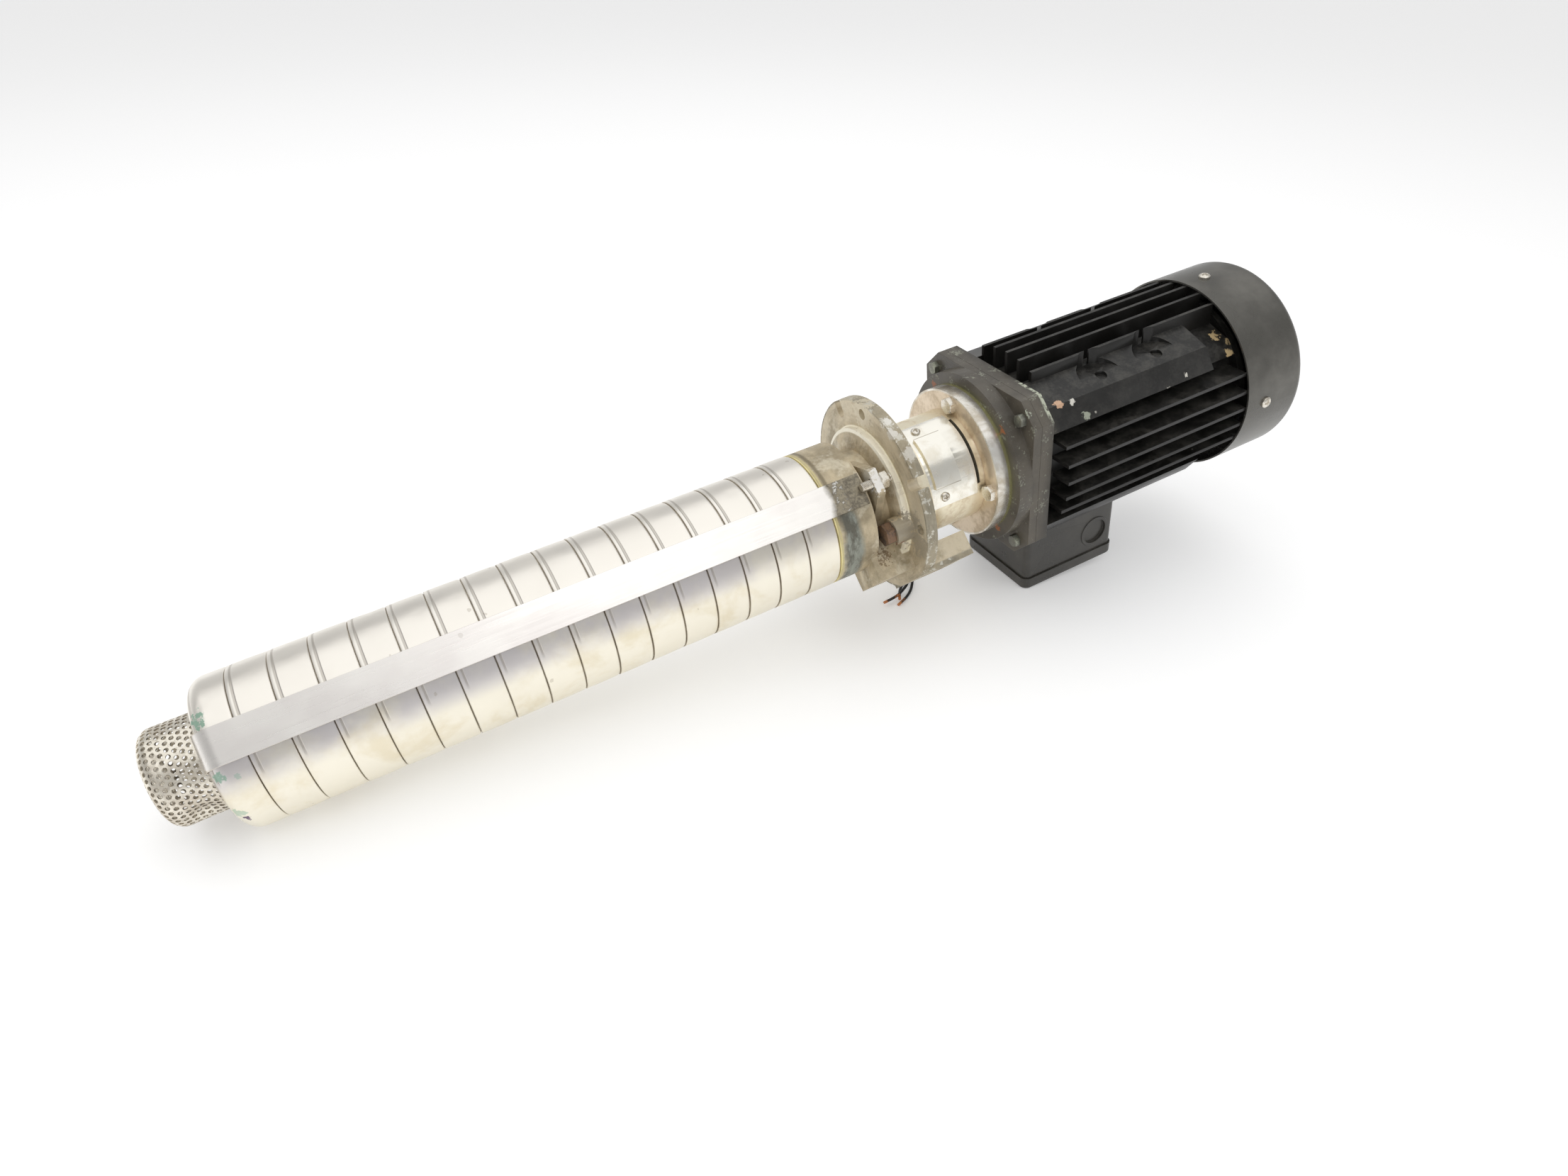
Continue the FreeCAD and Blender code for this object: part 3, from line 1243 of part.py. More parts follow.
def make_board():
    """Terminal board on the floor of the box with six threaded terminals."""
    top = -(box_top + box_floor)
    middle = box_station + box_length / 2
    body = padded("terminal_board", "XY_Plane", [rectangle(
        middle - board_length / 2, -board_half_width, middle + board_length / 2, board_half_width)],
        top - board_height, board_height)
    posts = []
    for column in (-1, 0, 1):
        for row in (-1, 1):
            posts.append((middle + terminal_pitch * column, board_half_width * 0.5 * row, terminal_radius))
    pad(body, "XY_Plane", posts, top - board_height - terminal_height, terminal_height + overshoot)
    place(body)


def make_gland():
    """Cable gland in the far wall of the terminal box."""
    station = box_station + box_length - entry_inset
    height = -box_top - entry_depth
    face = box_half_width
    nut = hexagon("gland_nut", gland_radius * math.sqrt(3.0), gland_length - gland_dome)
    stand(nut, (station, face, height), Y_AXIS)
    dome = doc.addObject("Part::Cone", "gland_cap")
    set_length(dome, "Radius1", gland_radius - gland_step)
    set_length(dome, "Radius2", cable_radius + gland_lip)
    set_length(dome, "Height", gland_dome)
    stand(dome, (station, face + gland_length - gland_dome, height), Y_AXIS)
    neck = cylinder("gland_neck", entry_radius, box_wall)
    stand(neck, (station, face - box_wall, height), Y_AXIS)
    bore = cylinder("gland_bore", cable_radius, gland_length + box_wall + overshoot * 2)
    stand(bore, (station, face - box_wall - overshoot, height), Y_AXIS)
    cut = doc.addObject("Part::Cut", "cable_gland")
    cut.Base = fused("gland_body", [nut, dome, neck])
    cut.Tool = bore
    place(cut)


def cord_path(points, share=0.45):
    """Straight runs joined by tangent arcs as large as their runs allow."""
    edges = []
    radii = []
    start = points[0]
    for index in range(1, len(points) - 1):
        before, here, after = points[index - 1], points[index], points[index + 1]
        arrive = (here - before).normalize()
        leave = (after - here).normalize()
        turn = arrive.getAngle(leave)
        reach = share * min((here - before).Length, (after - here).Length)
        radii.append(reach / math.tan(turn / 2))
        first = here - arrive * reach
        last = here + leave * reach
        inward = (leave - arrive).normalize()
        centre = here + inward * math.hypot(reach, radii[-1])
        middle = centre - inward * radii[-1]
        edges.append(Part.LineSegment(start, first).toShape())
        edges.append(Part.Arc(first, middle, last).toShape())
        start = last
    edges.append(Part.LineSegment(start, points[-1]).toShape())
    return Part.Wire(edges), radii


def tube(points, radius):
    """A round solid along the path; its volume is compared with section times length."""
    path, radii = cord_path(points)
    section = Part.Wire(Part.makeCircle(radius, points[0], points[1] - points[0]))
    solid = path.makePipeShell([section], True, False)
    wanted = math.pi * radius ** 2 * path.Length
    if abs(solid.Volume - wanted) > 0.02 * wanted:
        raise ValueError("tube volume %.1f, wanted %.1f" % (solid.Volume, wanted))
    return solid, radii, path.Length


def make_cable(floor):
    """The cut supply cable on the bench behind the pump, and its three bare cores."""
    station = box_station + box_length - entry_inset
    depth = -box_top - entry_depth
    mouth = LEAN.multVec(Vector(station.value, (box_half_width + gland_length).value, depth.value))
    low = floor + cable_radius.value
    route = [mouth - Vector(0, cable_grip.value, 0), mouth + CABLE_LEAVING]
    for x, y, lift in CABLE_ROUTE:
        route.append(Vector(x, y, low + lift))
    solid, radii, length = tube(route, cable_radius.value)
    cable = doc.addObject("Part::Feature", "supply_cable")
    cable.Shape = solid
    exported.append(cable)
    print("cable length %.0f, radii %s" % (length, " ".join("%.0f" % item for item in radii)))
    cores = []
    for core in CORE_ROUTES:
        points = [Vector(x, y, floor + z) for x, y, z in core]
        solid, radii, length = tube(points, CORE_RADIUS)
        cores.append(solid.cut(cable.Shape))
        print("core length %.0f, radii %s" % (length, " ".join("%.0f" % item for item in radii)))
    item = doc.addObject("Part::Feature", "cable_cores")
    item.Shape = Part.makeCompound(cores)
    exported.append(item)


# The first point past the gland, then points on the bench and how far above it
CABLE_LEAVING = Vector(0, 26, 0)
CABLE_ROUTE = [
    (221.5, 128, 22), (211.5, 160, 8), (184.5, 184, 1), (148.5, 186, 0), (118.5, 168, 0),
    (96.5, 140, 0), (82.5, 108, 0), (74.5, 76, 0), (68.5, 46, 0), (64.5, 24, 0)]
CORE_RADIUS = 1.3
# Cores by their points: along the bench, across it, and above it
CORE_ROUTES = [
    [(66, 24, 4.5), (64.5, 16, 4.4), (58.5, 8, 3.2), (52.5, 2, 1.4), (42.5, -5, 1.4),
     (31.5, -10, 1.4)],
    [(62.7, 24, 5.8), (59.5, 15, 6.6), (52.5, 8, 5.4), (44.5, 4, 3.6), (34.5, -1, 3.2),
     (20.5, -3, 3.0)],
    [(62.7, 24, 2.8), (57.5, 18, 2.0), (49.5, 13, 1.4), (42.5, 5, 1.4), (37.5, -3, 1.4)]]


def main():
    make_strainer()
    make_inlet()
    for number in range(stage_count):
        make_chamber(number)
    impellers = [make_impeller(number) for number in range(stage_count)]
    for group in range(4):
        place(gather("impellers_%d" % (group + 1), impellers[group * 4:group * 4 + 4]))
    make_shafts()
    make_coupling()
    make_head_cuts(make_head())
    make_head_fittings()
    make_straps()
    make_stool()
    make_guards()
    make_ring_bolts()
    make_front_shield()
    make_housing()
    make_stator()
    make_rear_shield()
    make_bearings()
    make_fan()
    make_fan_cover()
    make_corner_bolts()
    make_terminal_box()
    doc.recompute()
    edge = Vector((box_station - lid_lip + lid_rounding).value, 0, -(lid_face - lid_rounding).value)
    floor = LEAN.multVec(edge).z - lid_rounding.value
    make_cable(floor)
    doc.recompute()
    for item in doc.Objects:
        if "Invalid" in item.State or "Error" in item.State:
            raise ValueError("object failed: " + item.Label)
    for item in exported:
        shape = item.Shape
        if shape.isNull() or not shape.isValid() or not shape.Solids:
            raise ValueError("bad shape: " + item.Label)
        shape.exportStep("parts/%s.step" % item.Label)
    print("%d nodes, floor at %.3f, lean %.3f" % (len(exported), floor, math.degrees(lean_angle)))


main()
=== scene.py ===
import json
import math

import bmesh
import bpy
import numpy as np
from mathutils import Matrix, Vector

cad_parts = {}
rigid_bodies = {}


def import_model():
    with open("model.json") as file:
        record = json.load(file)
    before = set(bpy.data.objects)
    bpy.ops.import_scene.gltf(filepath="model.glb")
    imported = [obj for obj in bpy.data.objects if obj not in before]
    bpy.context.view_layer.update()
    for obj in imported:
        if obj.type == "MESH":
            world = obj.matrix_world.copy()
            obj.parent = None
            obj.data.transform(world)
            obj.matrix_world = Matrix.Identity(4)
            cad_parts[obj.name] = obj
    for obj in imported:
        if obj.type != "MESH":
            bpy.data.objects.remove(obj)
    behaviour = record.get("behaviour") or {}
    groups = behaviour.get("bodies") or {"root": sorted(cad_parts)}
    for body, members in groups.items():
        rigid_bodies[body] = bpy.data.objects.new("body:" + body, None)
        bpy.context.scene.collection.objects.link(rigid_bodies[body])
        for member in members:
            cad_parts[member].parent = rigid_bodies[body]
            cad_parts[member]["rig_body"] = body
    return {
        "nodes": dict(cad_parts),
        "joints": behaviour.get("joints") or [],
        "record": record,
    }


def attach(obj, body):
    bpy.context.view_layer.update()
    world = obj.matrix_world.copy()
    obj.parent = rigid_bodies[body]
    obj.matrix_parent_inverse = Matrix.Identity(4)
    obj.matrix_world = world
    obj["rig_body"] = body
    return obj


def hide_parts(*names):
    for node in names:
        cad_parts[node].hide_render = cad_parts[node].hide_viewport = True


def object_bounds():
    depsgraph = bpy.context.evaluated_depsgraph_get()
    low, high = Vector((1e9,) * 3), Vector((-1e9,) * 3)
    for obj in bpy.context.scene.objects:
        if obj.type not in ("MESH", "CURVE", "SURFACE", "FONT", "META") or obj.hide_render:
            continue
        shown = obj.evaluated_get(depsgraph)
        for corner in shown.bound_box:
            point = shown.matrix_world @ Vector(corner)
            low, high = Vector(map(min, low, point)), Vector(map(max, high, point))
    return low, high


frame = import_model()
CAD_BOX = [list(corner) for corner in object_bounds()]

bl_info = {
    "name": "Coolant Pump Dresser",
    "version": (1, 0, 0),
    "blender": (4, 5, 0),
    "location": "View3D > Sidebar > Coolant Pump",
    "description": "Builds the visible surfaces, finishes and studio of an immersible coolant pump",
    "category": "Add Mesh",
}

# The shaft leans against the bench by this angle. Pieces are worked out in the pump's own axes,
# X along the shaft to the motor, and leant at the end.
LEAN = math.atan2(frame["joints"][0]["axis"][2], frame["joints"][0]["axis"][0])
FLOOR = CAD_BOX[0][2]
FULL_TURN = 2 * math.pi


# Shapes

def leant(points):
    """Pump axes to the frame's axes: a turn about Y by the lean."""
    points = np.asarray(points, float)
    along, up = points[..., 0], points[..., 2]
    c, s = math.cos(LEAN), math.sin(LEAN)
    return np.stack([along * c - up * s, points[..., 1], along * s + up * c], axis=-1)


def angles(count):
    """Evenly spaced angles of one turn, the first of them 0."""
    return np.linspace(0, FULL_TURN, count, endpoint=False)


def round_shaft(station, angle, radius):
    """The point at an angle about the shaft, 0 below it and a quarter turn towards -Y."""
    return np.stack([station, -radius * np.sin(angle), -radius * np.cos(angle)], axis=-1)


def hexagon(angle):
    """Radius of a hexagon whose flats lie at distance 1, one of them at angle 0."""
    return 1 / np.cos((angle + math.pi / 6) % (math.pi / 3) - math.pi / 6)


def ring_faces(rings, sides, closed=False):
    """Quads between rings of points that follow each other, and from the last back to the first
    if closed."""
    i, j = np.meshgrid(np.arange(rings if closed else rings - 1), np.arange(sides), indexing="ij")
    i, j = i.ravel(), j.ravel()
    k, m = (i + 1) % rings, (j + 1) % sides
    return np.stack([i * sides + j, k * sides + j, k * sides + m, i * sides + m], axis=1)


def facing_out(points, faces):
    """Reverse the quads if the closed shape they bound has a negative volume."""
    a, b, c, d = (points[faces[:, corner]] for corner in range(4))
    volume = np.einsum("ij,ij->i", a, np.cross(b, c) + np.cross(c, d)).sum()
    return faces[:, ::-1] if volume < 0 else faces


class Shape:
    """Points and quads gathered from several surfaces."""

    def __init__(self):
        self.points = []
        self.faces = []
        self.count = 0

    def add(self, points, faces, closed=True):
        """Add a surface; a closed one is made to face outwards."""
        faces = facing_out(points, faces) if closed else faces
        self.points.append(points)
        self.faces.extend((faces + self.count).tolist())
        self.count += len(points)


def lathe(profile, sides, wobble):
    """A closed profile of (station, radius) carried round the shaft, with a wobble of its radius."""
    profile = np.asarray(profile, float)
    station, angle = np.broadcast_arrays(profile[:, :1], angles(sides)[None, :])
    radius = np.broadcast_to(profile[:, 1:2], angle.shape)
    points = round_shaft(station, angle, radius + wobble(station, angle, radius))
    return points.reshape(-1, 3), ring_faces(len(profile), sides, True)


def spindle(profile, origin, direction, sides, corners=None):
    """A profile of (height, radius) turned about a unit direction: origin + direction height +
    (first cos a + second sin a) radius. Where corners is above 0 the ring has six flat sides and
    its corners are cut off at that multiple of the radius."""
    direction = np.asarray(direction, float)
    first = np.cross(direction, (0.0, 0.0, 1.0))
    second = np.cross(direction, first)
    profile = np.asarray(profile, float)
    angle = angles(sides)
    scale = np.ones((len(profile), sides))
    if corners is not None:
        limit = np.asarray(corners, float)[:, None]
        scale = np.where(limit > 0, np.minimum(hexagon(angle), np.maximum(limit, 1.0)), 1.0)
    around = np.cos(angle)[:, None] * first + np.sin(angle)[:, None] * second
    points = np.asarray(origin) + profile[:, :1, None] * direction
    points = points + (profile[:, 1:2] * scale)[..., None] * around
    return points.reshape(-1, 3), ring_faces(len(profile), sides)


def material(name):
    return bpy.data.materials[name + "_finish"]


def finished(name, mesh, finish, smooth):
    """An object of a mesh with its finish, smooth apart from edges sharper than an angle."""
    mesh.materials.clear()
    mesh.materials.append(material(finish))
    mesh.shade_smooth()
    mesh.set_sharp_from_angle(angle=math.radians(smooth))
    piece = bpy.data.objects.new(name, mesh)
    bpy.context.scene.collection.objects.link(piece)
    return piece


def dress(name, shape, finish, node, smooth):
    """Lean a shape and let it ride on the casing in place of a CAD node."""
    mesh = bpy.data.meshes.new(name)
    points = leant(np.concatenate(shape.points))
    mesh.from_pydata(points.tolist(), [], [list(dict.fromkeys(face)) for face in shape.faces])
    mesh.update()
    piece = finished(name, mesh, finish, smooth)
    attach(piece, "casing")
    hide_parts(node)


def refine(node, finish, width):
    """A merged copy of a CAD node with smooth curved faces and edges softened by a width."""
    merge_distance, flat_angle, smooth = 2e-6, math.radians(0.4), 30.0
    source = frame["nodes"][node]
    mesh = bpy.data.meshes.new(node + "_surface")
    shell = bmesh.new()
    shell.from_mesh(source.data)
    bmesh.ops.remove_doubles(shell, verts=shell.verts, dist=merge_distance)
    bmesh.ops.dissolve_limit(shell, angle_limit=flat_angle, verts=shell.verts, edges=shell.edges)
    bmesh.ops.recalc_face_normals(shell, faces=shell.faces)
    shell.to_mesh(mesh)
    shell.free()
    piece = finished(node + "_surface", mesh, finish, smooth)
    if width:
        bevel = piece.modifiers.new("soft_edges", "BEVEL")
        bevel.width = width
        bevel.segments = 2
        bevel.limit_method = "ANGLE"
        bevel.angle_limit = math.radians(smooth + 5)
        bevel.harden_normals = True
        bevel.use_clamp_overlap = True
    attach(piece, source["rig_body"])
    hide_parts(node)


# Shader tools

class Graph:
    """Short calls for the nodes of one material or group."""

    def __init__(self, tree):
        self.tree = tree
        self.nodes = tree.nodes

    def put(self, kind, inputs=(), **settings):
        node = self.nodes.new(kind)
        for name, value in settings.items():
            setattr(node, name, value)
        for key, value in dict(inputs).items():
            self.feed(node.inputs[key], value)
        return node

    def feed(self, socket, value):
        """Link another socket or set a constant; colours come without their alpha."""
        if isinstance(value, bpy.types.NodeSocket):
            self.tree.links.new(value, socket)
        elif socket.type == "RGBA":
            socket.default_value = (*value, 1.0)
        else:
            socket.default_value = value

    def calculate(self, operation, first, second=0.0, clamp=False):
        node = self.put("ShaderNodeMath", {0: first, 1: second}, operation=operation, use_clamp=clamp)
        return node.outputs[0]

    def times(self, first, *others):
        for other in others:
            first = self.calculate("MULTIPLY", first, other)
        return first

    def plus(self, first, second, clamp=False):
        return self.calculate("ADD", first, second, clamp)

    def minus(self, first, second):
        return self.calculate("SUBTRACT", first, second)

    def rest(self, share):
        return self.minus(1.0, share)

    def most(self, first, second):
        return self.calculate("MAXIMUM", first, second)

    def range(self, value, low, high, out_low=0.0, out_high=1.0):
        """A smooth step from out_low to out_high while the value goes from low to high."""
        node = self.put("ShaderNodeMapRange", {
            "Value": value, "From Min": low, "From Max": high, "To Min": out_low, "To Max": out_high},
            interpolation_type="SMOOTHSTEP")
        return node.outputs["Result"]

    def fall(self, value, low, high):
        return self.range(value, low, high, 1.0, 0.0)

    def near(self, value, middle, inner, outer):
        """1 within the inner distance of a middle value and 0 beyond the outer one."""
        return self.fall(self.calculate("ABSOLUTE", self.minus(value, middle)), inner, outer)

    def blend(self, share, first, second):
        node = self.put("ShaderNodeMix", data_type="RGBA", blend_type="MIX", clamp_factor=True)
        for key, value in (("Factor", share), (6, first), (7, second)):
            self.feed(node.inputs[key], value)
        return node.outputs[2]

    def noise(self, vector, scale, detail, rough, distortion=0.0):
        node = self.put("ShaderNodeTexNoise", {
            "Vector": vector, "Scale": scale, "Detail": detail, "Roughness": rough, "Distortion": distortion})
        return node.outputs["Fac"]

    def vector_math(self, operation, first, second, output="Vector"):
        node = self.put("ShaderNodeVectorMath", {0: first, 1: second}, operation=operation)
        return node.outputs[output]

    def split(self, vector):
        return self.put("ShaderNodeSeparateXYZ", {"Vector": vector}).outputs

    def group(self, name, inputs=()):
        return self.put("ShaderNodeGroup", inputs, node_tree=bpy.data.node_groups[name]).outputs


class Finish(Graph):
    """One material of the pump: a colour and a normal that its steps build up, the coordinates
    of the shaft, and masks that are 1 where they apply."""

    def __init__(self, name):
        self.material = bpy.data.materials.new(name + "_finish")
        self.material.use_nodes = True
        super().__init__(self.material.node_tree)
        self.shader = self.nodes["Principled BSDF"]
        axes = self.group("Shaft Axes")
        self.vector, self.unrolled = axes["Vector"], axes["Unrolled"]
        self.station, self.radius, self.turn = axes["Station"], axes["Radius"], axes["Turn"]
        self.colour = self.normal = None

    def patches(self, scale, low, high, broken):
        return self.group("Patches", {
            "Vector": self.vector, "Scale": scale, "Low": low, "High": high, "Break": broken})["Mask"]

    def lines(self, vector, stretch, scale):
        return self.group("Grain", {"Vector": vector, "Stretch": stretch, "Scale": scale})["Lines"]

    def specks(self, scale, share, size):
        return self.group("Specks", {
            "Vector": self.vector, "Scale": scale, "Share": share, "Size": size})["Mask"]

    def band(self, start, end, soft, waver):
        return self.group("Band", {
            "Station": self.station, "Vector": self.vector, "Start": start, "End": end, "Soft": soft,
            "Waver": waver})["Mask"]

    def side(self, middle, inner, outer):
        """Round an angle in degrees about the shaft; inner and outer are cosines."""
        return self.group("Side", {
            "Turn": self.turn, "Middle": math.radians(middle), "Inner": inner, "Outer": outer})["Mask"]

    def both_sides(self, middle, inner, outer):
        return self.most(self.side(middle, inner, outer), self.side(middle + 180, inner, outer))

    def dye(self, mask, tint, share=1.0):
        """Blend a tint into the colour by a share of the mask."""
        mask = mask if share == 1.0 else self.times(mask, share)
        self.colour = self.blend(mask, self.colour, tint)

    def spots(self, noise, places):
        """Dye spots given as (station, across, up and size in mm, tint, share); their masks' sum."""
        total = 0.0
        for x, y, z, size, tint, share in places:
            spot = self.group("Spot", {
                "Vector": self.vector, "Centre": (x / 1000, y / 1000, z / 1000), "Size": size / 1000,
                "Noise": noise})["Mask"]
            spot = self.times(spot, share)
            self.dye(spot, tint)
            total = self.plus(spot, total)
        return total

    def bump(self, height, strength, distance):
        """Lay a bump over the ones before it."""
        inputs = {"Height": height, "Strength": strength, "Distance": distance}
        if self.normal is not None:
            inputs["Normal"] = self.normal
        self.normal = self.put("ShaderNodeBump", inputs).outputs["Normal"]

    def complete(self, roughness, metallic=0.0):
        for name, value in (("Base Color", self.colour), ("Normal", self.normal),
                            ("Roughness", roughness), ("Metallic", metallic)):
            self.feed(self.shader.inputs[name], value)


VALUE, VECTOR = "NodeSocketFloat", "NodeSocketVector"


def new_group(name, inputs, outputs):
    """A shader node group with named sockets: its inputs by their defaults, where all but
    numbers are vectors, and its outputs by their kinds."""
    tree = bpy.data.node_groups.new(name, "ShaderNodeTree")
    for label, default in inputs.items():
        kind = VALUE if isinstance(default, float) else VECTOR
        socket = tree.interface.new_socket(label, in_out="INPUT", socket_type=kind)
        if default is not None:
            socket.default_value = default
    for label, kind in outputs.items():
        tree.interface.new_socket(label, in_out="OUTPUT", socket_type=kind)
    g = Graph(tree)
    return g, g.put("NodeGroupInput").outputs, g.put("NodeGroupOutput").inputs


def make_shaft_axes_group():
    """Object coordinates in the pump's own axes: where along the shaft, how far from it and at
    which angle about it, 0 below the shaft and a quarter turn towards -Y."""
    unrolled_radius = 0.055
    g, _, out = new_group("Shaft Axes", {}, {
        "Vector": VECTOR, "Station": VALUE, "Radius": VALUE, "Turn": VALUE, "Unrolled": VECTOR})
    place = g.put("ShaderNodeTexCoord").outputs["Object"]
    level = g.put("ShaderNodeVectorRotate", {"Vector": place, "Axis": (0.0, 1.0, 0.0), "Angle": LEAN},
                  rotation_type="AXIS_ANGLE").outputs["Vector"]
    parts = g.split(level)
    across, down = g.times(parts["Y"], -1.0), g.times(parts["Z"], -1.0)
    turn = g.calculate("ARCTAN2", across, down)
    radius = g.calculate("SQRT", g.plus(g.times(across, across), g.times(down, down)))
    unrolled = g.put("ShaderNodeCombineXYZ", {
        "X": parts["X"], "Y": g.times(turn, unrolled_radius), "Z": radius}).outputs["Vector"]
    for label, value in (("Vector", level), ("Station", parts["X"]), ("Radius", radius), ("Turn", turn),
                         ("Unrolled", unrolled)):
        g.feed(out[label], value)


def make_patches_group():
    """Irregular patches: noise cut between two levels, broken by a finer noise."""
    finer = 7.3
    g, given, out = new_group("Patches", {
        "Vector": None, "Scale": 30.0, "Low": 0.5, "High": 0.6, "Break": 0.3}, {"Mask": VALUE})
    coarse = g.noise(given["Vector"], given["Scale"], 4.0, 0.6, 0.4)
    fine = g.noise(given["Vector"], g.times(given["Scale"], finer), 3.0, 0.6)
    level = g.plus(coarse, g.times(g.minus(fine, 0.5), given["Break"]))
    g.feed(out["Mask"], g.range(level, given["Low"], given["High"]))


def make_grain_group():
    """Fine directional lines, as brushing or drawing leaves them: noise stretched by a vector."""
    g, given, out = new_group("Grain", {
        "Vector": None, "Stretch": (1.0, 1.0, 1.0), "Scale": 300.0}, {"Lines": VALUE})
    stretched = g.vector_math("MULTIPLY", given["Vector"], given["Stretch"])
    g.feed(out["Lines"], g.noise(stretched, given["Scale"], 5.0, 0.7))


def make_specks_group():
    """Small scattered specks: the middles of warped cells whose random value is below a share."""
    warp = (0.004, 0.004, 0.004)
    g, given, out = new_group("Specks", {
        "Vector": None, "Scale": 200.0, "Share": 0.1, "Size": 0.3}, {"Mask": VALUE})
    wander = g.put("ShaderNodeTexNoise", {"Vector": given["Vector"], "Scale": 260.0, "Detail": 2.0})
    place = g.vector_math("ADD", given["Vector"], g.vector_math("MULTIPLY", wander.outputs["Color"], warp))
    cells = g.put("ShaderNodeTexVoronoi", {"Vector": place, "Scale": given["Scale"]})
    middle = g.calculate("LESS_THAN", cells.outputs["Distance"], given["Size"])
    random = g.put("ShaderNodeSeparateColor", {"Color": cells.outputs["Color"]}).outputs[0]
    g.feed(out["Mask"], g.times(middle, g.calculate("LESS_THAN", random, given["Share"])))


def make_band_group():
    """1 between two stations along the shaft with soft, wavering ends, else 0."""
    g, given, out = new_group("Band", {
        "Station": 0.0, "Vector": None, "Start": 0.0, "End": 0.1, "Soft": 0.003, "Waver": 0.0},
        {"Mask": VALUE})
    noise = g.noise(given["Vector"], 45.0, 4.0, 0.65)
    station = g.plus(given["Station"], g.times(g.minus(noise, 0.5), given["Waver"]))
    rise = g.calculate("DIVIDE", g.minus(station, given["Start"]), given["Soft"], clamp=True)
    fall = g.calculate("DIVIDE", g.minus(given["End"], station), given["Soft"], clamp=True)
    g.feed(out["Mask"], g.times(rise, fall))


def make_side_group():
    """1 round an angle about the shaft: a smooth step of the cosine of the difference."""
    g, given, out = new_group("Side", {
        "Turn": 0.0, "Middle": 0.0, "Inner": 0.9, "Outer": 0.5}, {"Mask": VALUE})
    cosine = g.calculate("COSINE", g.minus(given["Turn"], given["Middle"]))
    g.feed(out["Mask"], g.range(cosine, given["Outer"], given["Inner"]))


def make_spot_group():
    """1 within a ragged distance of a place given in the pump's axes, else 0."""
    g, given, out = new_group("Spot", {
        "Vector": None, "Centre": (0.0, 0.0, 0.0), "Size": 0.004, "Noise": 0.5, "Ragged": 3.0},
        {"Mask": VALUE})
    away = g.vector_math("DISTANCE", given["Vector"], given["Centre"], "Value")
    ragged = g.times(g.minus(given["Noise"], 0.5), given["Ragged"])
    share = g.plus(g.calculate("DIVIDE", away, given["Size"]), ragged)
    g.feed(out["Mask"], g.fall(share, 0.70, 0.92))


# Finishes

def chamber_steel(look):
    """Deep-drawn stainless: cream below and paler on top as painted light, lavender-grey painted shade beside
    the straps, straw marks on the lower sides that are partly painted warm shade, fine joint lines with a
    swaged line beside them that is painted dark as shade on the top, painted shade inside the inlet behind
    the strainer, and verdigris at the inlet."""
    g = Finish("chamber_steel")
    soft = g.noise(g.vector, 26.0, 4.0, 0.55)
    fine = g.noise(g.vector, 210.0, 4.0, 0.65)
    # The top is painted paler: painted light where the lamp above falls on the steel.
    top = g.side(180, 0.86, 0.35)
    g.colour = g.blend(top, look.steel, (0.96, 0.92, 0.845))
    # Straw patches, kept off the top: straw marks, and partly a painted warm shade on the lower sides.
    g.dye(g.times(g.patches(21.0, 0.46, 0.70, 0.2), g.rest(top)), look.straw, 0.75)
    # Lavender-grey beside the straps is painted shade, fading downwards into the cream.
    beside = g.both_sides(121, 0.999, 0.89)
    g.dye(g.times(beside, g.range(soft, 0.3, 0.62, 0.2, 0.9)), look.strap_shade)
    late = g.times(g.range(g.station, -0.19, -0.11), g.range(beside, 0.0, 0.7))
    g.dye(late, (0.62, 0.56, 0.44), 0.15)
    # The phase goes from 0 to 1 between two joints, counted from a station before the strainer.
    before = look.first_joint - look.joint_pitch * 40
    phase = g.calculate("FRACT", g.calculate("DIVIDE", g.minus(g.station, before), look.joint_pitch))
    distance = g.calculate("MINIMUM", phase, g.rest(phase))
    # The joint lines are painted lighter on the top, as part of the painted light there.
    seam = g.times(g.fall(distance, 0.008, 0.026), g.range(top, 0.0, 1.0, 1.0, 0.7))
    dirt = g.noise(g.vector, 90.0, 4.0, 0.7)
    g.dye(g.times(seam, g.range(dirt, 0.3, 0.7, 0.55, 0.9)), (0.36, 0.31, 0.24))
    # The swaged line is painted dark as shade in its groove, on the top and beside one strap.
    above = g.most(g.side(180, 0.42, 0.25), g.side(301, 0.99, 0.94))
    swage = g.times(g.near(phase, 0.135, 0.016, 0.046), above)
    g.dye(swage, (0.40, 0.36, 0.31), 0.55)
    g.dye(g.specks(120.0, 0.03, 0.20), (0.42, 0.36, 0.28), 0.35)
    # Painted shade: darker inside the inlet, behind the strainer.
    behind = g.times(g.fall(g.radius, 0.0335, 0.0345), g.fall(g.station, -0.518, -0.512))
    g.dye(behind, (0.22, 0.18, 0.19), 0.8)
    green, purple = (0.30, 0.52, 0.40), (0.17, 0.11, 0.20)
    marks = g.spots(fine, [
        (-517, -21.8, 51.4, 8.0, green, 0.8), (-516, -51, 22.6, 5.0, green, 0.7),
        (-516, -54.5, -8, 5.5, green, 0.5), (-513, -54, -15, 3.6, purple, 0.9),
        (-505, -53, 20, 3.0, green, 0.4), (-519, 30, 46, 7.0, green, 0.6)])
    grain = g.lines(g.vector, (0.12, 1.0, 1.0), 420.0)
    rough = g.plus(g.range(soft, 0.3, 0.7, 0.27, 0.38), g.times(grain, 0.08))
    rough = g.plus(rough, g.times(seam, 0.25))
    g.bump(g.noise(g.vector, 38.0, 2.0, 0.5), 0.32, 0.0016)
    g.bump(g.rest(swage), 0.7, 0.0006)
    g.bump(grain, 0.12, 0.0003)
    g.complete(g.plus(rough, g.times(marks, 0.4), clamp=True), 1.0)


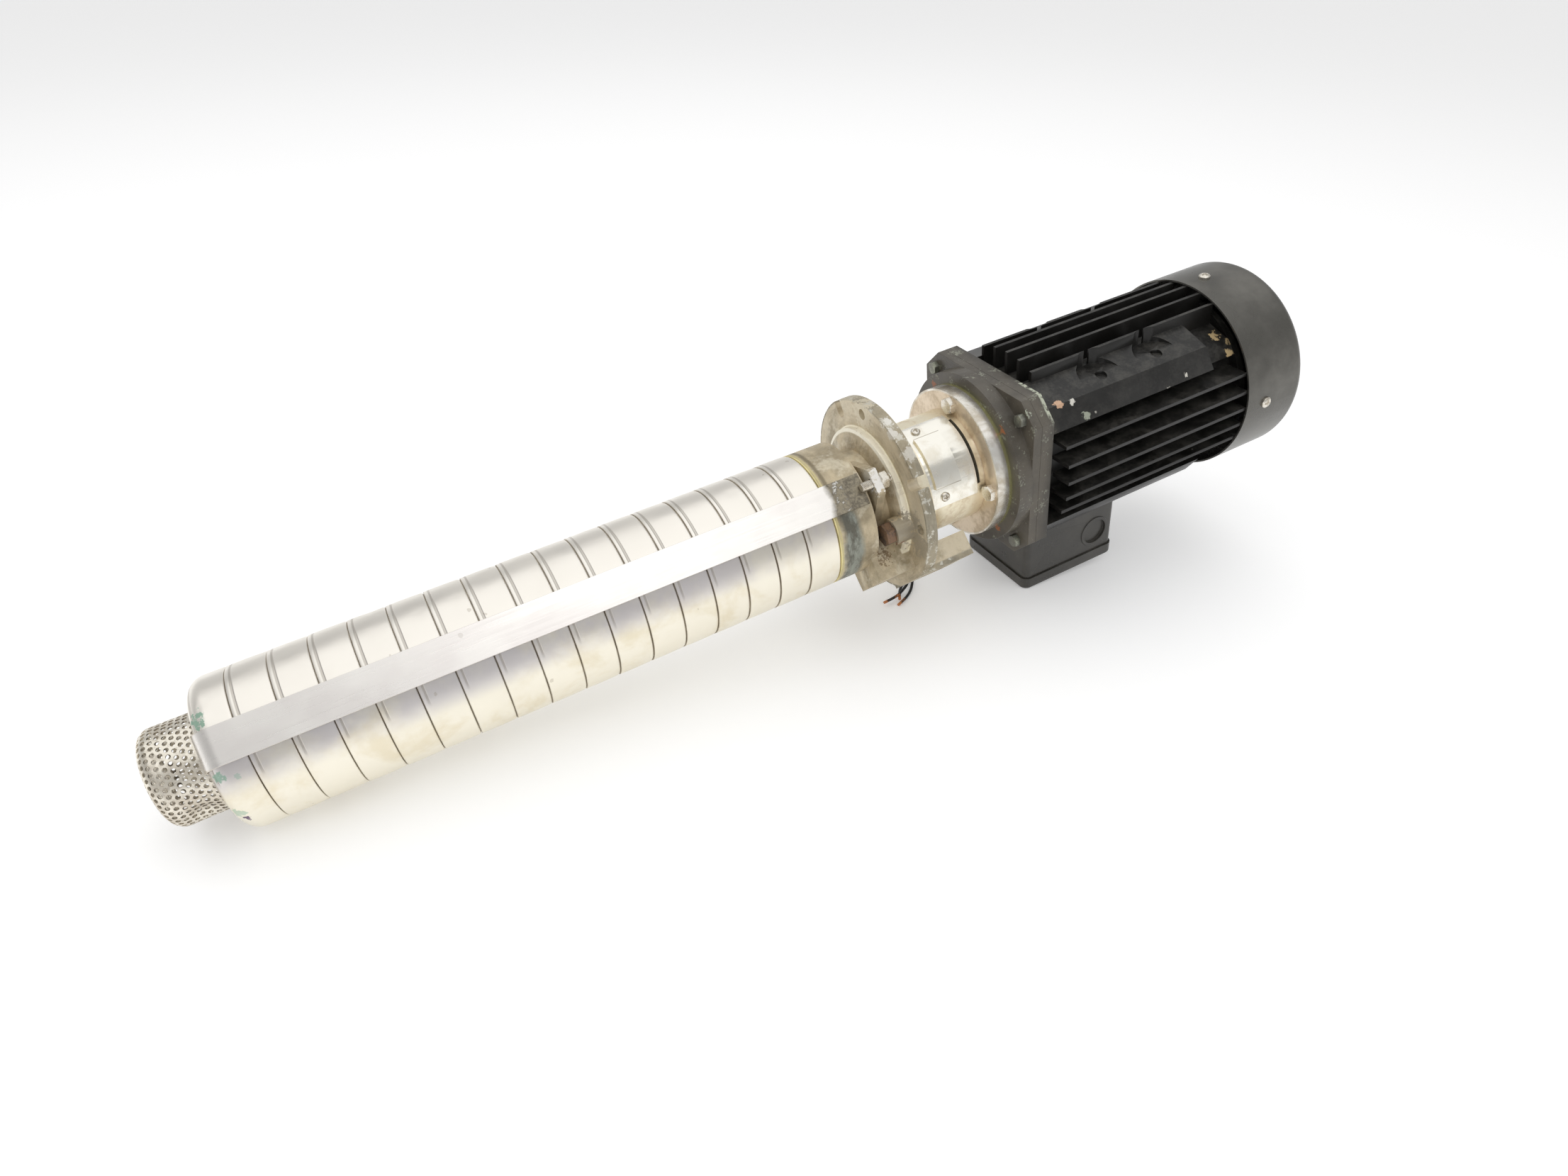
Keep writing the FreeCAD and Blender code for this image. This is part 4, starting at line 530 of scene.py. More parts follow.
def strap_steel():
    """Flat strip, brushed along its length, tan along its edges, stained past the gasket."""
    g = Finish("strap_steel")
    lines = g.lines(g.vector, (0.02, 1.0, 1.0), 900.0)
    clouds = g.noise(g.vector, 16.0, 3.0, 0.5)
    fine = g.noise(g.vector, 330.0, 4.0, 0.7)
    g.colour = g.blend(g.range(clouds, 0.35, 0.7), (0.95, 0.925, 0.88), (0.83, 0.79, 0.76))
    g.dye(g.specks(110.0, 0.03, 0.22), (0.50, 0.46, 0.41), 0.3)
    g.dye(g.rest(g.both_sides(135, 0.9767, 0.9736)), (0.60, 0.53, 0.42), 0.5)
    stained = g.band(-0.0620, 0.02, 0.005, 0.012)
    g.dye(stained, g.blend(g.range(fine, 0.35, 0.65), (0.33, 0.29, 0.21), (0.15, 0.13, 0.095)), 0.96)
    crust = g.times(g.band(-0.0560, -0.0440, 0.003, 0.010), g.range(fine, 0.53, 0.60))
    g.dye(crust, (0.80, 0.79, 0.74), 0.85)
    rough = g.plus(g.range(lines, 0.2, 0.8, 0.24, 0.38), g.times(stained, 0.14))
    g.bump(lines, 0.10, 0.0002)
    g.bump(crust, 0.5, 0.0005)
    g.complete(rough, g.rest(g.times(crust, 0.8)))


def strainer_steel():
    """Perforated sheet, cream-grey and stained."""
    g = Finish("strainer_steel")
    stain = g.patches(42.0, 0.4, 0.65, 0.4)
    fine = g.noise(g.vector, 400.0, 3.0, 0.7)
    g.colour = g.blend(stain, (0.90, 0.85, 0.74), (0.70, 0.64, 0.54))
    g.dye(g.range(fine, 0.45, 0.75, 0.0, 0.4), (0.36, 0.30, 0.26))
    g.bump(fine, 0.25, 0.0003)
    g.complete(g.range(stain, 0.0, 1.0, 0.26, 0.46), 0.9)


def head_casting(look):
    """Cast head: olive-beige with soft dark mottling, a black-green oxide band low on the collar,
    grey-brown round the plug boss, a pale flange face, a darker rim with bright chips, a painted
    highlight as a near-white ring at the foot of the flange and a painted highlight on the polished strap
    lug."""
    g = Finish("head_casting")
    fine = g.noise(g.vector, 260.0, 5.0, 0.7)
    grain = g.lines(g.unrolled, (1.0, 0.35, 1.0), 62.0)
    g.colour = g.blend(g.range(grain, 0.32, 0.70), look.casting, (0.45, 0.38, 0.26))
    g.dye(g.patches(25.0, 0.41, 0.67, 0.22), look.casting_dark, 0.62)
    g.dye(g.patches(44.0, 0.50, 0.70, 0.28), (0.78, 0.72, 0.57), 0.6)
    lower = g.side(35, 0.12, -0.12)
    oxide = g.blend(g.range(grain, 0.46, 0.60), (0.10, 0.105, 0.09), (0.31, 0.335, 0.295))
    g.dye(g.times(g.band(-0.0590, -0.0395, 0.005, 0.012), lower), oxide, 0.9)
    g.dye(g.band(-0.0610, -0.0585, 0.0008, 0.003), (0.66, 0.58, 0.30), 0.8)
    shade = g.times(g.band(-0.0585, -0.0540, 0.0015, 0.004), g.rest(lower))
    g.dye(shade, (0.17, 0.14, 0.085), 0.7)
    face = g.times(g.range(g.radius, 0.062, 0.066), g.range(g.station, -0.004, -0.0015))
    block = g.times(g.range(g.station, 0.0102, 0.0108), g.side(45, 0.75, 0.6))
    g.dye(g.times(g.most(face, block), g.range(grain, 0.35, 0.62, 0.80, 0.10)), (0.70, 0.62, 0.47))
    rim = g.range(g.radius, 0.0815, 0.0828)
    g.dye(g.times(rim, g.range(grain, 0.35, 0.6, 0.85, 0.35)), (0.22, 0.20, 0.15))
    # Painted highlight: a near-white ring where light catches the fillet at the foot of the flange.
    root = g.times(g.near(g.radius, 0.0592, 0.0015, 0.0026), g.range(g.station, -0.0075, -0.0060))
    g.dye(root, (1.0, 0.95, 0.80), 0.9)
    chipped = g.times(rim, g.range(g.noise(g.vector, 130.0, 4.0, 0.7), 0.53, 0.60))
    g.dye(chipped, (0.74, 0.72, 0.64), 0.8)
    dull, rust = (0.40, 0.355, 0.275), (0.28, 0.12, 0.07)
    bright, cream = (0.84, 0.82, 0.76), (0.72, 0.65, 0.50)
    marks = g.spots(fine, [
        (0, 5.0, 74.6, 15.0, cream, 0.85), (0, 30, 74, 12.0, cream, 0.5),
        (-9, -66, 8, 15.0, dull, 0.9), (-7, -72, -8, 17.0, dull, 0.8),
        (-16, -68, -14, 12.0, rust, 0.75), (-22, -58, -18, 10.0, (0.20, 0.13, 0.07), 0.8),
        (4, -24.2, 78.5, 5.5, bright, 0.9), (1, -35, 74, 5.5, bright, 0.7),
        # The near-white spot at station -21 on the strap lug is polished metal with a painted highlight.
        (6, -52, 63, 7.0, bright, 0.5), (-21, -44, 46, 12.0, (0.92, 0.90, 0.86), 0.95),
        (-26, -36, 44, 11.0, (0.66, 0.60, 0.47), 0.7), (-8, -46, 33, 9.0, (0.78, 0.72, 0.58), 0.6)])
    grit = g.noise(g.vector, 520.0, 4.0, 0.7)
    g.bump(g.noise(g.vector, 130.0, 4.0, 0.6), 0.5, 0.0010)
    g.bump(grit, 0.35, 0.0004)
    g.bump(marks, 0.3, 0.0004)
    g.complete(g.range(grit, 0.3, 0.7, 0.38, 0.62), g.range(chipped, 0.0, 1.0, 0.55, 0.85))


def stool_casting():
    """Cast stool: warm beige, with a machined bright rim and a yellowish joint line at the motor."""
    g = Finish("stool_casting")
    stain = g.patches(40.0, 0.42, 0.66, 0.4)
    g.colour = g.blend(stain, (0.98, 0.90, 0.70), (0.80, 0.69, 0.50))
    g.dye(g.range(g.station, 0.0803, 0.0812), g.blend(stain, (0.82, 0.70, 0.55), (0.66, 0.55, 0.41)))
    rim = g.range(g.radius, 0.0640, 0.0648)
    cut = g.noise(g.unrolled, 55.0, 2.0, 0.5)
    bright = g.blend(g.range(cut, 0.35, 0.65), (0.94, 0.92, 0.87), (0.80, 0.775, 0.71))
    tarnish = g.times(g.patches(42.0, 0.44, 0.66, 0.04), 0.75)
    g.dye(rim, g.blend(tarnish, bright, (0.46, 0.39, 0.28)))
    g.dye(g.times(rim, g.range(g.station, 0.0922, 0.0930)), (0.66, 0.64, 0.28), 0.85)
    cast = g.rest(rim)
    rough = g.times(g.range(stain, 0.0, 1.0, 0.40, 0.52), cast)
    g.bump(g.times(g.noise(g.vector, 110.0, 3.0, 0.6), cast), 0.3, 0.0006)
    g.complete(g.plus(rough, g.times(rim, 0.27)), 0.85)


def guard_steel():
    """Thin polished stainless sheet with a few smears, and painted shade in the creases of its raised middle.
    """
    g = Finish("guard_steel")
    smears = g.patches(45.0, 0.45, 0.7, 0.08)
    g.colour = g.blend(g.times(smears, 0.6), (0.95, 0.925, 0.84), (0.78, 0.72, 0.59))
    raised = g.times(g.range(g.station, 0.0315, 0.0325), g.fall(g.station, 0.0555, 0.0565))
    # Painted shade: thin dark lines in the creases where the raised middle meets the flat strips.
    crease = g.minus(g.both_sides(135, 0.9075, 0.9015), g.both_sides(135, 0.9145, 0.9085))
    g.dye(g.times(crease, raised), (0.40, 0.35, 0.27), 0.75)
    g.bump(g.noise(g.vector, 60.0, 2.0, 0.5), 0.25, 0.0008)
    g.bump(g.lines(g.vector, (0.03, 1.0, 1.0), 800.0), 0.05, 0.0002)
    g.complete(g.range(smears, 0.0, 1.0, 0.20, 0.34), 1.0)


def black_paint(name, base, rough, dust, gloss, marked=(), metallic=0.0):
    """Satin black paint: warm grey at the front frame, a painted brownish-grey reflection with scuffs, soft
    dust on upward faces, pale dried coolant along the frame's front edge, and the marks given for it."""
    g = Finish(name)
    clouds = g.noise(g.vector, 22.0, 4.0, 0.6)
    fine = g.noise(g.vector, 260.0, 5.0, 0.7)
    grey = [component * 2.2 + 0.012 for component in base]
    g.colour = g.blend(g.range(clouds, 0.4, 0.75, 0.0, 0.5), base, grey)
    # Warm grey at the front frame is a painted brownish-grey reflection, mottled like scuffs.
    front = g.range(g.station, 0.138, 0.118)
    g.dye(g.times(front, g.range(clouds, 0.3, 0.7, 0.45, 0.95)), (0.135, 0.118, 0.092))
    up = g.split(g.put("ShaderNodeNewGeometry").outputs["Normal"])["Z"]
    dusty = g.times(g.range(up, 0.35, 0.95), g.patches(60.0, 0.38, 0.72, 0.5), dust)
    g.dye(dusty, (0.20, 0.19, 0.165))
    edge = g.times(g.band(0.1250, 0.1315, 0.0012, 0.004), g.side(158, 0.90, 0.84),
                   g.range(g.radius, 0.078, 0.080), g.range(fine, 0.42, 0.52))
    dried = g.most(edge, g.times(g.patches(75.0, 0.62, 0.70, 0.7), front, 0.35))
    g.dye(dried, (0.55, 0.58, 0.46), 0.85)
    g.dye(g.specks(120.0, 0.012, 0.16), (0.45, 0.43, 0.38), 0.8)
    marks = g.spots(fine, marked)
    g.shader.inputs["Specular IOR Level"].default_value = gloss
    value = g.plus(g.range(clouds, 0.3, 0.7, rough - 0.05, rough + 0.08), g.times(dusty, 0.3))
    g.bump(g.noise(g.vector, 600.0, 3.0, 0.6), 0.22, 0.0003)
    g.bump(g.plus(dried, marks), 0.3, 0.0003)
    g.complete(g.plus(value, g.times(dried, 0.3), clamp=True), metallic)


def plain_metal(name, colour, rough, tarnish=(0.30, 0.22, 0.14), amount=0.35, metallic=1.0):
    """Machined or rolled metal with light tarnish."""
    g = Finish(name)
    fine = g.noise(g.vector, 700.0, 3.0, 0.6)
    g.colour = g.blend(g.times(g.patches(90.0, 0.45, 0.66, 0.5), amount), colour, tarnish)
    g.bump(fine, 0.15, 0.0002)
    g.complete(g.range(fine, 0.3, 0.7, rough - 0.07, rough + 0.09), metallic)


def plain_plastic(name, colour, rough, marked=()):
    """Moulded plastic or rubber with a fine skin and the marks given for it."""
    g = Finish(name)
    fine = g.noise(g.vector, 900.0, 3.0, 0.6)
    cloud = g.noise(g.vector, 45.0, 3.0, 0.6)
    pale = [component * 1.6 + 0.01 for component in colour]
    g.colour = g.blend(g.range(cloud, 0.35, 0.75), colour, pale)
    g.spots(fine, marked)
    g.bump(fine, 0.2, 0.0002)
    g.complete(g.range(fine, 0.3, 0.7, rough - 0.06, rough + 0.08))


def laminated_steel():
    """The stator's and rotor's stacked sheets: fine lines across the shaft."""
    g = Finish("core_steel")
    sheets = g.put("ShaderNodeTexWave", {"Vector": g.vector, "Scale": 300.0, "Distortion": 0.4},
                   wave_type="BANDS", bands_direction="X").outputs["Fac"]
    g.colour = g.blend(g.range(sheets, 0.2, 0.8), (0.30, 0.30, 0.31), (0.14, 0.13, 0.13))
    g.bump(sheets, 0.3, 0.0002)
    g.complete(g.range(sheets, 0.0, 1.0, 0.38, 0.55), 0.9)


def winding_copper():
    """Bundled enamelled wire: lines that run round the winding heads."""
    g = Finish("winding_copper")
    wires = g.lines(g.unrolled, (1.0, 0.06, 1.0), 900.0)
    g.colour = g.blend(g.range(wires, 0.35, 0.65), (0.46, 0.17, 0.06), (0.20, 0.07, 0.025))
    g.bump(wires, 0.5, 0.0006)
    g.complete(g.range(wires, 0.3, 0.7, 0.25, 0.45), 0.6)


# Settings

def setting(name, description, default, **limits):
    return bpy.props.FloatProperty(name=name, description=description, default=default, **limits)


def colour_setting(name, description, default):
    return bpy.props.FloatVectorProperty(
        name=name, description=description, default=default, subtype="COLOR", min=0, max=1)


class PumpSizes(bpy.types.PropertyGroup):
    """Sizes of the dressed surfaces that a user may change, in metres."""
    hole_pitch: setting("Hole Pitch", "Distance between the strainer's holes", 0.0050,
                        min=0.003, max=0.012, unit="LENGTH")
    hole_share: setting("Hole Share", "Hole diameter as a share of the pitch", 0.68,
                        min=0.3, max=0.85, subtype="FACTOR")
    barrel: setting("Barrel", "How far each chamber bulges between its joints", 0.0002,
                    min=0.0, max=0.002, unit="LENGTH")
    dent_depth: setting("Dent Depth", "Deepest dent in the chambers", 0.0005,
                        min=0.0, max=0.003, unit="LENGTH")
    thread_pitch: setting("Thread Pitch", "Pitch of the tension studs' thread", 0.00125,
                          min=0.0005, max=0.003, unit="LENGTH")
    edge_width: setting("Edge Width", "Softened edge of machined and cast pieces", 0.0005,
                        min=0.0, max=0.003, unit="LENGTH")


class PumpColours(bpy.types.PropertyGroup):
    """Colours of the finishes and where the chamber joints lie."""
    steel: colour_setting("Steel", "Clean chamber steel", (0.91, 0.865, 0.745))
    # Straw is partly painted warm shade on the chambers' lower sides.
    straw: colour_setting("Straw", "Straw-coloured marks", (0.79, 0.71, 0.53))
    # The lavender-grey beside the straps is painted shade on the chambers.
    strap_shade: colour_setting("Strap Shade", "Lavender-grey marks beside the straps", (0.66, 0.63, 0.64))
    casting: colour_setting("Casting", "Pump head casting", (0.67, 0.57, 0.395))
    casting_dark: colour_setting("Dark Casting", "Dark mottling of the head", (0.25, 0.205, 0.135))
    paint: colour_setting("Paint", "Motor paint", (0.009, 0.0085, 0.0075))
    first_joint: setting(
        "First Joint", "Station of the joint below the first chamber", -0.494, unit="LENGTH")
    joint_pitch: setting("Joint Pitch", "Length of one chamber", 0.027, unit="LENGTH")


class StudioLight(bpy.types.PropertyGroup):
    """Levels of the studio."""
    key: setting("Key", "Large soft lamp above", 25.5, min=0.0, unit="POWER")
    fill: setting("Fill", "Soft lamp on the camera side", 2.0, min=0.0, unit="POWER")
    surround: setting("Surround", "Level of the pale surroundings", 0.66, min=0.0, max=2.0)
    floor: colour_setting("Floor", "Bench top", (0.90, 0.90, 0.90))


# Operators

class PUMP_OT_stage(bpy.types.Operator):
    """Camera at the photographed view, bench, surroundings and lamps"""
    bl_idname = "pump.stage"
    bl_label = "Stage"

    sensor_width = 36.0
    focal_length_px = 1422.3
    image_width_px = 2212
    bench_half = 20.0
    bench_glow = 0.25

    def execute(self, context):
        scene = context.scene
        scene.view_settings.view_transform = "Standard"
        self.make_camera(scene)
        self.make_bench(scene, scene.pump_light)
        self.make_world(scene, scene.pump_light)
        self.make_lamp(scene, "overhead", place=(-0.1, 0.35, 1.9), target=(-0.1, 0.35, 0.0), size=3.8,
                       power=scene.pump_light.key)
        self.make_lamp(scene, "camera_side", place=(-0.15, -1.1, 1.4), target=(-0.15, 0.0, 0.0), size=1.05,
                       power=scene.pump_light.fill)
        return {"FINISHED"}

    def make_camera(self, scene):
        data = bpy.data.cameras.new("photo_camera")
        data.sensor_width = self.sensor_width
        data.lens = self.sensor_width * self.focal_length_px / self.image_width_px
        camera = bpy.data.objects.new("photo_camera", data)
        right = Vector((0.88137, -0.47236, 0.00790))
        up = Vector((0.26800, 0.51370, 0.81505))
        back = Vector((-0.38905, -0.71625, 0.57936))
        matrix = Matrix((right, up, back)).transposed().to_4x4()
        matrix.translation = Vector((-0.41445, -0.6120, 0.42613))
        camera.matrix_world = matrix
        scene.collection.objects.link(camera)
        scene.camera = camera

    def seen(self, g):
        """1 for rays that come straight from the camera or a reflection."""
        path = g.put("ShaderNodeLightPath").outputs
        return g.most(path["Is Camera Ray"], path["Is Glossy Ray"])

    def make_bench(self, scene, light):
        half = self.bench_half
        corners = [(x, y, FLOOR) for x, y in ((-half, -half), (half, -half), (half, half), (-half, half))]
        mesh = bpy.data.meshes.new("bench_top")
        mesh.from_pydata(corners, [], [(0, 1, 2, 3)])
        bench = bpy.data.objects.new("bench_top", mesh)
        scene.collection.objects.link(bench)
        coat = bpy.data.materials.new("bench_top_finish")
        coat.use_nodes = True
        g = Graph(coat.node_tree)
        shader = g.nodes["Principled BSDF"].inputs
        g.feed(shader["Base Color"], light.floor)
        g.feed(shader["Roughness"], 0.55)
        g.feed(shader["Emission Color"], (1.0, 1.0, 1.0))
        g.feed(shader["Emission Strength"], g.times(self.seen(g), self.bench_glow))
        mesh.materials.append(coat)

    def make_world(self, scene, light):
        """Pale surroundings whose seen level falls with the height and whose light is even."""
        world = bpy.data.worlds.new("pale_room")
        world.use_nodes = True
        scene.world = world
        g = Graph(world.node_tree)
        background = g.nodes["Background"].inputs
        g.feed(background["Color"], (1.0, 1.0, 1.0))
        seen = self.seen(g)
        height = g.split(g.put("ShaderNodeTexCoord").outputs["Generated"])["Z"]
        level = g.times(seen, g.range(height, 0.05, 0.50, 0.64, 0.46))
        g.feed(background["Strength"], g.plus(level, g.times(g.rest(seen), light.surround)))

    def make_lamp(self, scene, name, place, target, size, power):
        data = bpy.data.lights.new(name, "AREA")
        data.shape = "SQUARE"
        data.size = size
        data.energy = power
        lamp = bpy.data.objects.new(name, data)
        lamp.location = place
        lamp.rotation_euler = (Vector(target) - Vector(place)).to_track_quat("-Z", "Y").to_euler()
        scene.collection.objects.link(lamp)


class PUMP_OT_finishes(bpy.types.Operator):
    """Shared shader groups and every material of the pump"""
    bl_idname = "pump.finishes"
    bl_label = "Finishes"

    def execute(self, context):
        look = context.scene.pump_colours
        for make in (make_shaft_axes_group, make_patches_group, make_grain_group, make_specks_group,
                     make_band_group, make_side_group, make_spot_group):
            make()
        chamber_steel(look)
        head_casting(look)
        for make in (strap_steel, strainer_steel, stool_casting, guard_steel, laminated_steel,
                     winding_copper):
            make()
        rust, tan, lime = (0.36, 0.11, 0.03), (0.62, 0.46, 0.24), (0.52, 0.56, 0.44)
        black_paint("motor_paint", tuple(look.paint), rough=0.36, dust=0.20, gloss=0.45, marked=[
            (97.5, -50, 50, 4.5, rust, 0.9), (97.5, -49, -45, 4.5, rust, 0.9), (97.5, 44, 53, 4.0, rust, 0.8),
            (97, 79, 20, 7.0, (0.62, 0.60, 0.25), 0.8), (109, -65, 67, 4.0, lime, 0.7),
            (143.5, -61, 62, 4.5, (0.66, 0.42, 0.27), 0.9), (156, -62.5, 60.5, 3.2, (0.75, 0.73, 0.66), 0.9),
            (164, -71, 48.5, 4.0, lime, 0.6), (271.5, -71.6, 49.3, 2.4, (0.7, 0.68, 0.6), 0.9),
            (250.5, -74.5, 44.5, 2.6, (0.5, 0.48, 0.42), 0.7), (327, -48.1, 61.3, 7.0, tan, 0.75),
            (329.9, -62.2, 46.4, 4.5, tan, 0.8), (334, -54.8, 52.5, 4.0, tan, 0.5)])
        black_paint("cover_paint", (0.115, 0.111, 0.099), rough=0.29, dust=0.05, gloss=0.6, metallic=0.6)
        black_paint("box_paint", (0.040, 0.037, 0.031), rough=0.30, dust=0.25, gloss=0.6)
        plain_metal("impeller_steel", (0.66, 0.64, 0.60), rough=0.34)
        plain_metal("shaft_steel", (0.64, 0.64, 0.63), rough=0.26)
        plain_metal("bearing_steel", (0.55, 0.55, 0.55), rough=0.24)
        plain_metal("fastener_steel", (0.78, 0.74, 0.66), rough=0.28, tarnish=(0.45, 0.38, 0.28), amount=0.5)
        plain_metal("coupling_casting", (0.22, 0.22, 0.22), rough=0.55, amount=0.3)
        plain_metal("dark_plug", (0.24, 0.15, 0.095), rough=0.45, tarnish=(0.08, 0.07, 0.065),
                    amount=0.9, metallic=0.6)
        plain_metal("dark_bolts", (0.20, 0.20, 0.17), rough=0.42, tarnish=(0.42, 0.44, 0.34),
                    amount=0.6, metallic=0.7)
        plain_plastic("gasket", (0.62, 0.54, 0.26), rough=0.6)
        plain_plastic("seal_carbon", (0.05, 0.05, 0.05), rough=0.35)
        plain_plastic("fan_plastic", (0.02, 0.02, 0.021), rough=0.5)
        plain_plastic("board_plastic", (0.06, 0.035, 0.02), rough=0.4)
        plain_plastic("gland_plastic", (0.025, 0.025, 0.026), rough=0.45)
        plain_plastic("cable_rubber", (0.014, 0.014, 0.014), rough=0.5)
        copper = (0.62, 0.24, 0.08)
        plain_plastic("core_sheath", (0.014, 0.013, 0.012), rough=0.45, marked=[
            (16.1, -10, -121.8, 6.0, copper, 1.0), (5.4, -3, -118.8, 5.0, copper, 1.0),
            (22.0, -3, -122.5, 5.0, copper, 1.0)])
        return {"FINISHED"}


class PUMP_OT_cable(bpy.types.Operator):
    """The cut supply cable behind the pump and its bare cores"""
    bl_idname = "pump.cable"
    bl_label = "Supply Cable"

    mouth = (0.2135, 0.0635, -0.1047)
    start_inside, straight = 0.010, 0.026
    sheath_radius = 0.0045
    core_radius = 0.0013
    # Middle lines in the frame's axes, in mm: the sheath's heights are above where it lies on the
    # bench, and the cores' heights above the bench itself.
    bench = [
        (221.5, 128, 22), (211.5, 160, 8), (184.5, 184, 1), (148.5, 186, 0), (118.5, 168, 0), (96.5, 140, 0),
        (82.5, 108, 0), (74.5, 76, 0), (68.5, 46, 0), (64.5, 24, 0)]
    cores = [
        [(66, 24, 4.5), (64.5, 16, 4.4), (58.5, 8, 3.2), (52.5, 2, 1.4), (42.5, -5, 1.4), (31.5, -10, 1.4)],
        [(62.7, 24, 5.8), (59.5, 15, 6.6), (52.5, 8, 5.4), (44.5, 4, 3.6), (34.5, -1, 3.2), (20.5, -3, 3.0)],
        [(62.7, 24, 2.8), (57.5, 18, 2.0), (49.5, 13, 1.4), (42.5, 5, 1.4), (37.5, -3, 1.4)]]

    def execute(self, context):
        mouth = leant(self.mouth)
        route = [mouth - (0, self.start_inside, 0), mouth + (0, self.straight, 0)]
        route += self.above_bench(self.bench, self.sheath_radius)
        cable = self.line("supply_cable_sheath", route, self.sheath_radius, "cable_rubber")
        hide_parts("supply_cable")
        cords = [(cable, mouth, 2 * self.sheath_radius)]
        for number, core in enumerate(self.cores, 1):
            points = self.above_bench(core, 0.0)
            wire = self.line("core_%d" % number, points, self.core_radius, "core_sheath")
            cords.append((wire, points[0], 2 * self.core_radius))
        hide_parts("cable_cores")
        for piece, start, diameter in cords:
            self.length(piece)
        return {"FINISHED"}

    def above_bench(self, places, lift):
        return [np.array([x / 1000, y / 1000, FLOOR + lift + z / 1000]) for x, y, z in places]

    def line(self, name, points, radius, finish):
        curve = bpy.data.curves.new(name, "CURVE")
        curve.dimensions = "3D"
        curve.resolution_u = 12
        curve.bevel_depth = radius
        curve.bevel_resolution = 5
        curve.use_fill_caps = True
        spline = curve.splines.new("NURBS")
        spline.points.add(len(points) - 1)
        for point, place in zip(spline.points, points):
            point.co = (*place, 1.0)
        spline.order_u = 3
        spline.use_endpoint_u = True
        curve.materials.append(material(finish))
        piece = bpy.data.objects.new(name, curve)
        bpy.context.scene.collection.objects.link(piece)
        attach(piece, "casing")
        return piece

    def length(self, piece):
        """Length of the middle line, from a copy without thickness."""
        bare = piece.copy()
        bare.data = piece.data.copy()
        bare.data.bevel_depth = 0.0
        bpy.context.scene.collection.objects.link(bare)
        graph = bpy.context.evaluated_depsgraph_get()
        mesh = bpy.data.meshes.new_from_object(bare.evaluated_get(graph))
        points = np.array([vertex.co for vertex in mesh.vertices])
        bpy.data.objects.remove(bare)
        bpy.data.meshes.remove(mesh)
        return float(np.linalg.norm(np.diff(points, axis=0), axis=1).sum())


